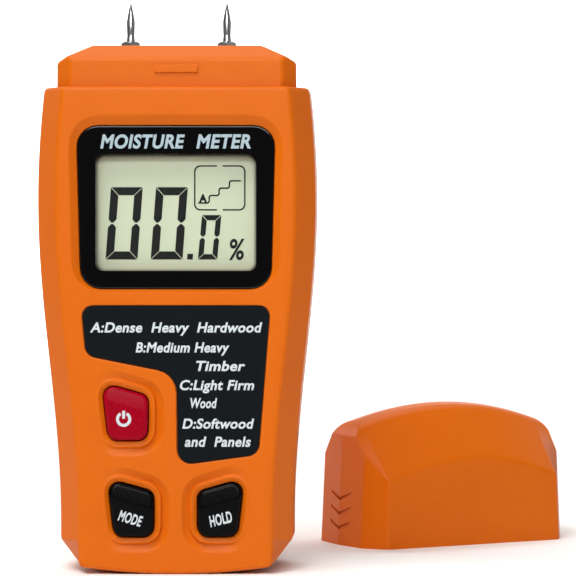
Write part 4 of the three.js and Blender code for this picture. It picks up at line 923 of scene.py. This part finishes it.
# Inner parts: the board and what it carries, the display's holder, the inserts, leads and contacts.
# They are laminate, moulded plastics, brass and plated metal, and keep their CAD shapes.
def board_laminate():
    """Glass-epoxy under green solder mask: a weave of 1 mm, and lighter tracks under it."""
    material, tree, shader = surface("solder_masked_laminate", {"Roughness": 0.35, "IOR": 1.5})
    place = add(tree, "ShaderNodeTexCoord").outputs["Object"]
    weave = add(tree, "ShaderNodeTexWave", {"bands_direction": "X"}, {"Scale": 320.0, "Distortion": 1.0},
                {"Vector": place})
    tracks = add(tree, "ShaderNodeTexBrick", values={"Scale": 150.0, "Mortar Size": 0.06},
                 links={"Vector": place})
    tracks.inputs["Color1"].default_value = linear("#14522D")
    tracks.inputs["Color2"].default_value = linear("#17603A")
    tracks.inputs["Mortar"].default_value = linear("#2C8A52")
    tree.links.new(tracks.outputs["Color"], shader.inputs["Base Color"])
    relief(tree, shader, weave.outputs["Fac"], 0.1, 0.00005)
    return material


insert_brass = bright_metal("turned_brass", "#C8A050", 0.28)
switch_tin = bright_metal("tinned_switch_frame", "#C2C2BE", 0.34)
white_abs = spark_textured_abs("white_moulded_abs", "#DEDED8", "#D6D6CE")
black_nylon = key_plastic("black_moulded_nylon", "#151516", 0.5)
silicone = key_plastic("layered_conductive_silicone", "#1A1A1A", 0.7)
laminate = board_laminate()
inner = {
    laminate: ["circuit_board"], white_abs: ["lcd_holder"],
    silicone: ["zebra_strip_lower", "zebra_strip_upper"],
    black_nylon: ["controller_chip", "power_switch_plunger", "mode_switch_plunger", "hold_switch_plunger"],
    switch_tin: ["power_switch", "mode_switch", "hold_switch", "quartz_crystal", "smoothing_capacitor"],
    insert_brass: ["left_pin_insert", "right_pin_insert"],
    screw_zinc: [f"board_screw_{i}" for i in range(1, 5)],
    spring_steel: ["left_pin_lead", "right_pin_lead", "positive_contact", "negative_contact",
                   "bridge_contact"],
}
for material, names in inner.items():
    for name in names:
        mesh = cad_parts[name].data
        mesh.materials.clear()
        mesh.materials.append(material)


# Pin cap: the same orange ABS, 1.5 mm thick, drafted so that it leaves the mould and slides over the neck.
# Its crown is arched along its length and bevelled down to the long walls.
# Each end has three grip grooves.
cap_low, cap_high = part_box("pin_cap")
CAP_YAW = math.radians(28)
CAP = Matrix.Translation(((cap_low.x + cap_high.x) / 2, (cap_low.y + cap_high.y) / 2, 0)) \
    @ Matrix.Rotation(CAP_YAW, 4, "Z") @ Matrix.Scale(METRE, 4)
CAP_HALF = 28.6
CAP_DEPTH = 15
CAP_TOP = 33
CAP_WALL = 1.5


def cap_plan(half, depth, z):
    """The rim's outline: chamfered corners, and ends that come to a low ridge in the middle."""
    right = [(half - EDGE_WIDTH, -depth, 1.8), (half - 0.8, -depth + EDGE_DEPTH, 1.8), (half, 0, 1),
             (half - 0.8, depth - EDGE_DEPTH, 1.8), (half - EDGE_WIDTH, depth, 1.8)]
    left = [(-x, y, radius) for x, y, radius in reversed(right)]
    return [(point.x, point.y, z) for point in arcs(right + left)]


def cap_form(inset, foot):
    """The cap as a solid: a barrel-topped bar, trimmed to its drafted outline and rounded at both ends."""
    half, depth = CAP_HALF - inset, CAP_DEPTH - inset
    sections = []
    for i in range(41):
        x = half * (i / 20 - 1)
        share = (x / CAP_HALF) ** 2
        wall = 20.4 - 7.5 * share - 0.6 * inset
        crown = CAP_TOP - 5.5 * share - inset
        side = [(depth - 0.4, wall, 3), (4.5, crown - 0.7, 4)]
        outline = [(-depth, foot, 0), (depth, foot, 0), *side, (0, crown, 6),
                   *((-y, z, radius) for y, z, radius in reversed(side))]
        sections.append([(x, point.x, point.y) for point in arcs(outline)])
    drafted = lofted([cap_plan(half, depth, foot), cap_plan(half - 1.6, depth, CAP_TOP)])
    rounding = arcs([(-60, foot, 0), (60, foot, 0), (60, 15, 0), (27.95 - inset, 15, 0),
                     (27.3 - inset, 28.1 - inset, 8), (10, 34.2 - inset, 0), (-10, 34.2 - inset, 0),
                     (inset - 27.3, 28.1 - inset, 8), (inset - 27.95, 15, 0), (-60, 15, 0)], steps=12)
    ends = lofted([[(p.x, y, p.y) for p in rounding] for y in (-40, 40)])
    return carve(carve(lofted(sections), "INTERSECT", [drafted]), "INTERSECT", [ends])


def grip_groove(side, z):
    """A shallow chevron across an end, pointing down at the ridge."""
    face = CAP_HALF - 1.6 * z / CAP_TOP
    chevron = [(-4.6, z + 1.5), (0, z), (4.6, z + 1.5), (4.6, z + 2.2), (0, z + 0.7), (-4.6, z + 2.2)]
    return lofted([[(side * x, u, v) for u, v in chevron] for x in (face - 0.75, face + 2)])


def pin_cap():
    bm = cap_form(0, 0)
    room = neck(-0.35, 101)
    bmesh.ops.translate(room, vec=(0, 0, -SHOULDER_Z), verts=room.verts)
    grooves = [grip_groove(side, 3.6 + 3.4 * i) for side in (-1, 1) for i in range(3)]
    return carve(bm, "DIFFERENCE", [cap_form(CAP_WALL, -1), room, *grooves])


fit(pin_cap(), "pin_cap_moulding", orange_abs, "pin_cap", ["pin_cap"], CAP, sharp=50)


# The stage: a floor of pale paper that curves up behind the object, and soft light from above and in front.
# The camera has a long lens and stands level with the middle of the meter.
def sweep():
    bm = bmesh.new()
    reach = 3
    path = arcs([(-reach, 0, 0), (reach, 0, 1.4), (reach, 4, 0)], steps=16, closed=False)
    verts = [bm.verts.new((-reach, p.x, p.y)) for p in path]
    edges = [bm.edges.new(pair) for pair in zip(verts, verts[1:])]
    made = bmesh.ops.extrude_edge_only(bm, edges=edges)["geom"]
    moved = [v for v in made if isinstance(v, bmesh.types.BMVert)]
    bmesh.ops.translate(bm, vec=(2 * reach, 0, 0), verts=moved)
    bmesh.ops.recalc_face_normals(bm, faces=bm.faces)
    return bm


paper = surface("pale_paper", {"Base Color": linear("#F5F5F3"), "Roughness": 0.9})[0]
floor_mesh = bpy.data.meshes.new("paper_sweep")
sweep_bm = sweep()
sweep_bm.to_mesh(floor_mesh)
floor_mesh.materials.append(paper)
floor_mesh.shade_smooth()
floor = bpy.data.objects.new("paper_sweep", floor_mesh)
bpy.context.scene.collection.objects.link(floor)

VIEW_X = 23.6
target = METER @ Vector((VIEW_X, 0, 60))


def soft_box(name, place, width, height, watts, spread=180, aim=target):
    """A rectangular soft light, aimed at the object unless told otherwise."""
    lamp = bpy.data.lights.new(name, "AREA")
    lamp.shape = "RECTANGLE"
    lamp.size, lamp.size_y = width, height
    lamp.energy = watts
    lamp.spread = math.radians(spread)
    made = bpy.data.objects.new(name, lamp)
    made.location = place
    made.rotation_euler = (Vector(aim) - Vector(place)).to_track_quat("-Z", "Y").to_euler()
    bpy.context.scene.collection.objects.link(made)


soft_box("overhead_front", (-0.25, -0.36, 0.78), 0.6, 0.4, 1.55, 90)
soft_box("upper_sheen", (-0.03, -0.46, 0.27), 0.3, 0.1, 0.38, 100)
soft_box("left_fill", (-0.9, -0.7, 0.3), 0.5, 0.7, 0.25)
soft_box("right_fill", (0.9, -0.4, 0.3), 0.5, 0.7, 0.4)
soft_box("backdrop_wash", (0, 1.2, 2.2), 2.0, 1.0, 70, 122, (0, 2.3, 0.1))
soft_box("rear_left_fill", (-0.9, 0.8, 0.5), 0.6, 0.6, 0.7, 90)
soft_box("rear_right_fill", (0.9, 0.9, 0.5), 0.6, 0.6, 0.7, 90)
world = bpy.data.worlds.new("studio")
bpy.context.scene.world = world
world.use_nodes = True
world.node_tree.nodes["Background"].inputs["Color"].default_value = (1, 1, 1, 1)
world.node_tree.nodes["Background"].inputs["Strength"].default_value = 0.08
bpy.context.scene.view_settings.view_transform = "Standard"

lens_data = bpy.data.cameras.new("camera")
lens_data.lens = 144.4
lens_data.sensor_width = 36
camera = bpy.data.objects.new("camera", lens_data)
camera.location = METER @ Vector((VIEW_X, -500, 60.15))
camera.rotation_euler = (pi / 2, 0, 0)
bpy.context.scene.collection.objects.link(camera)
bpy.context.scene.camera = camera
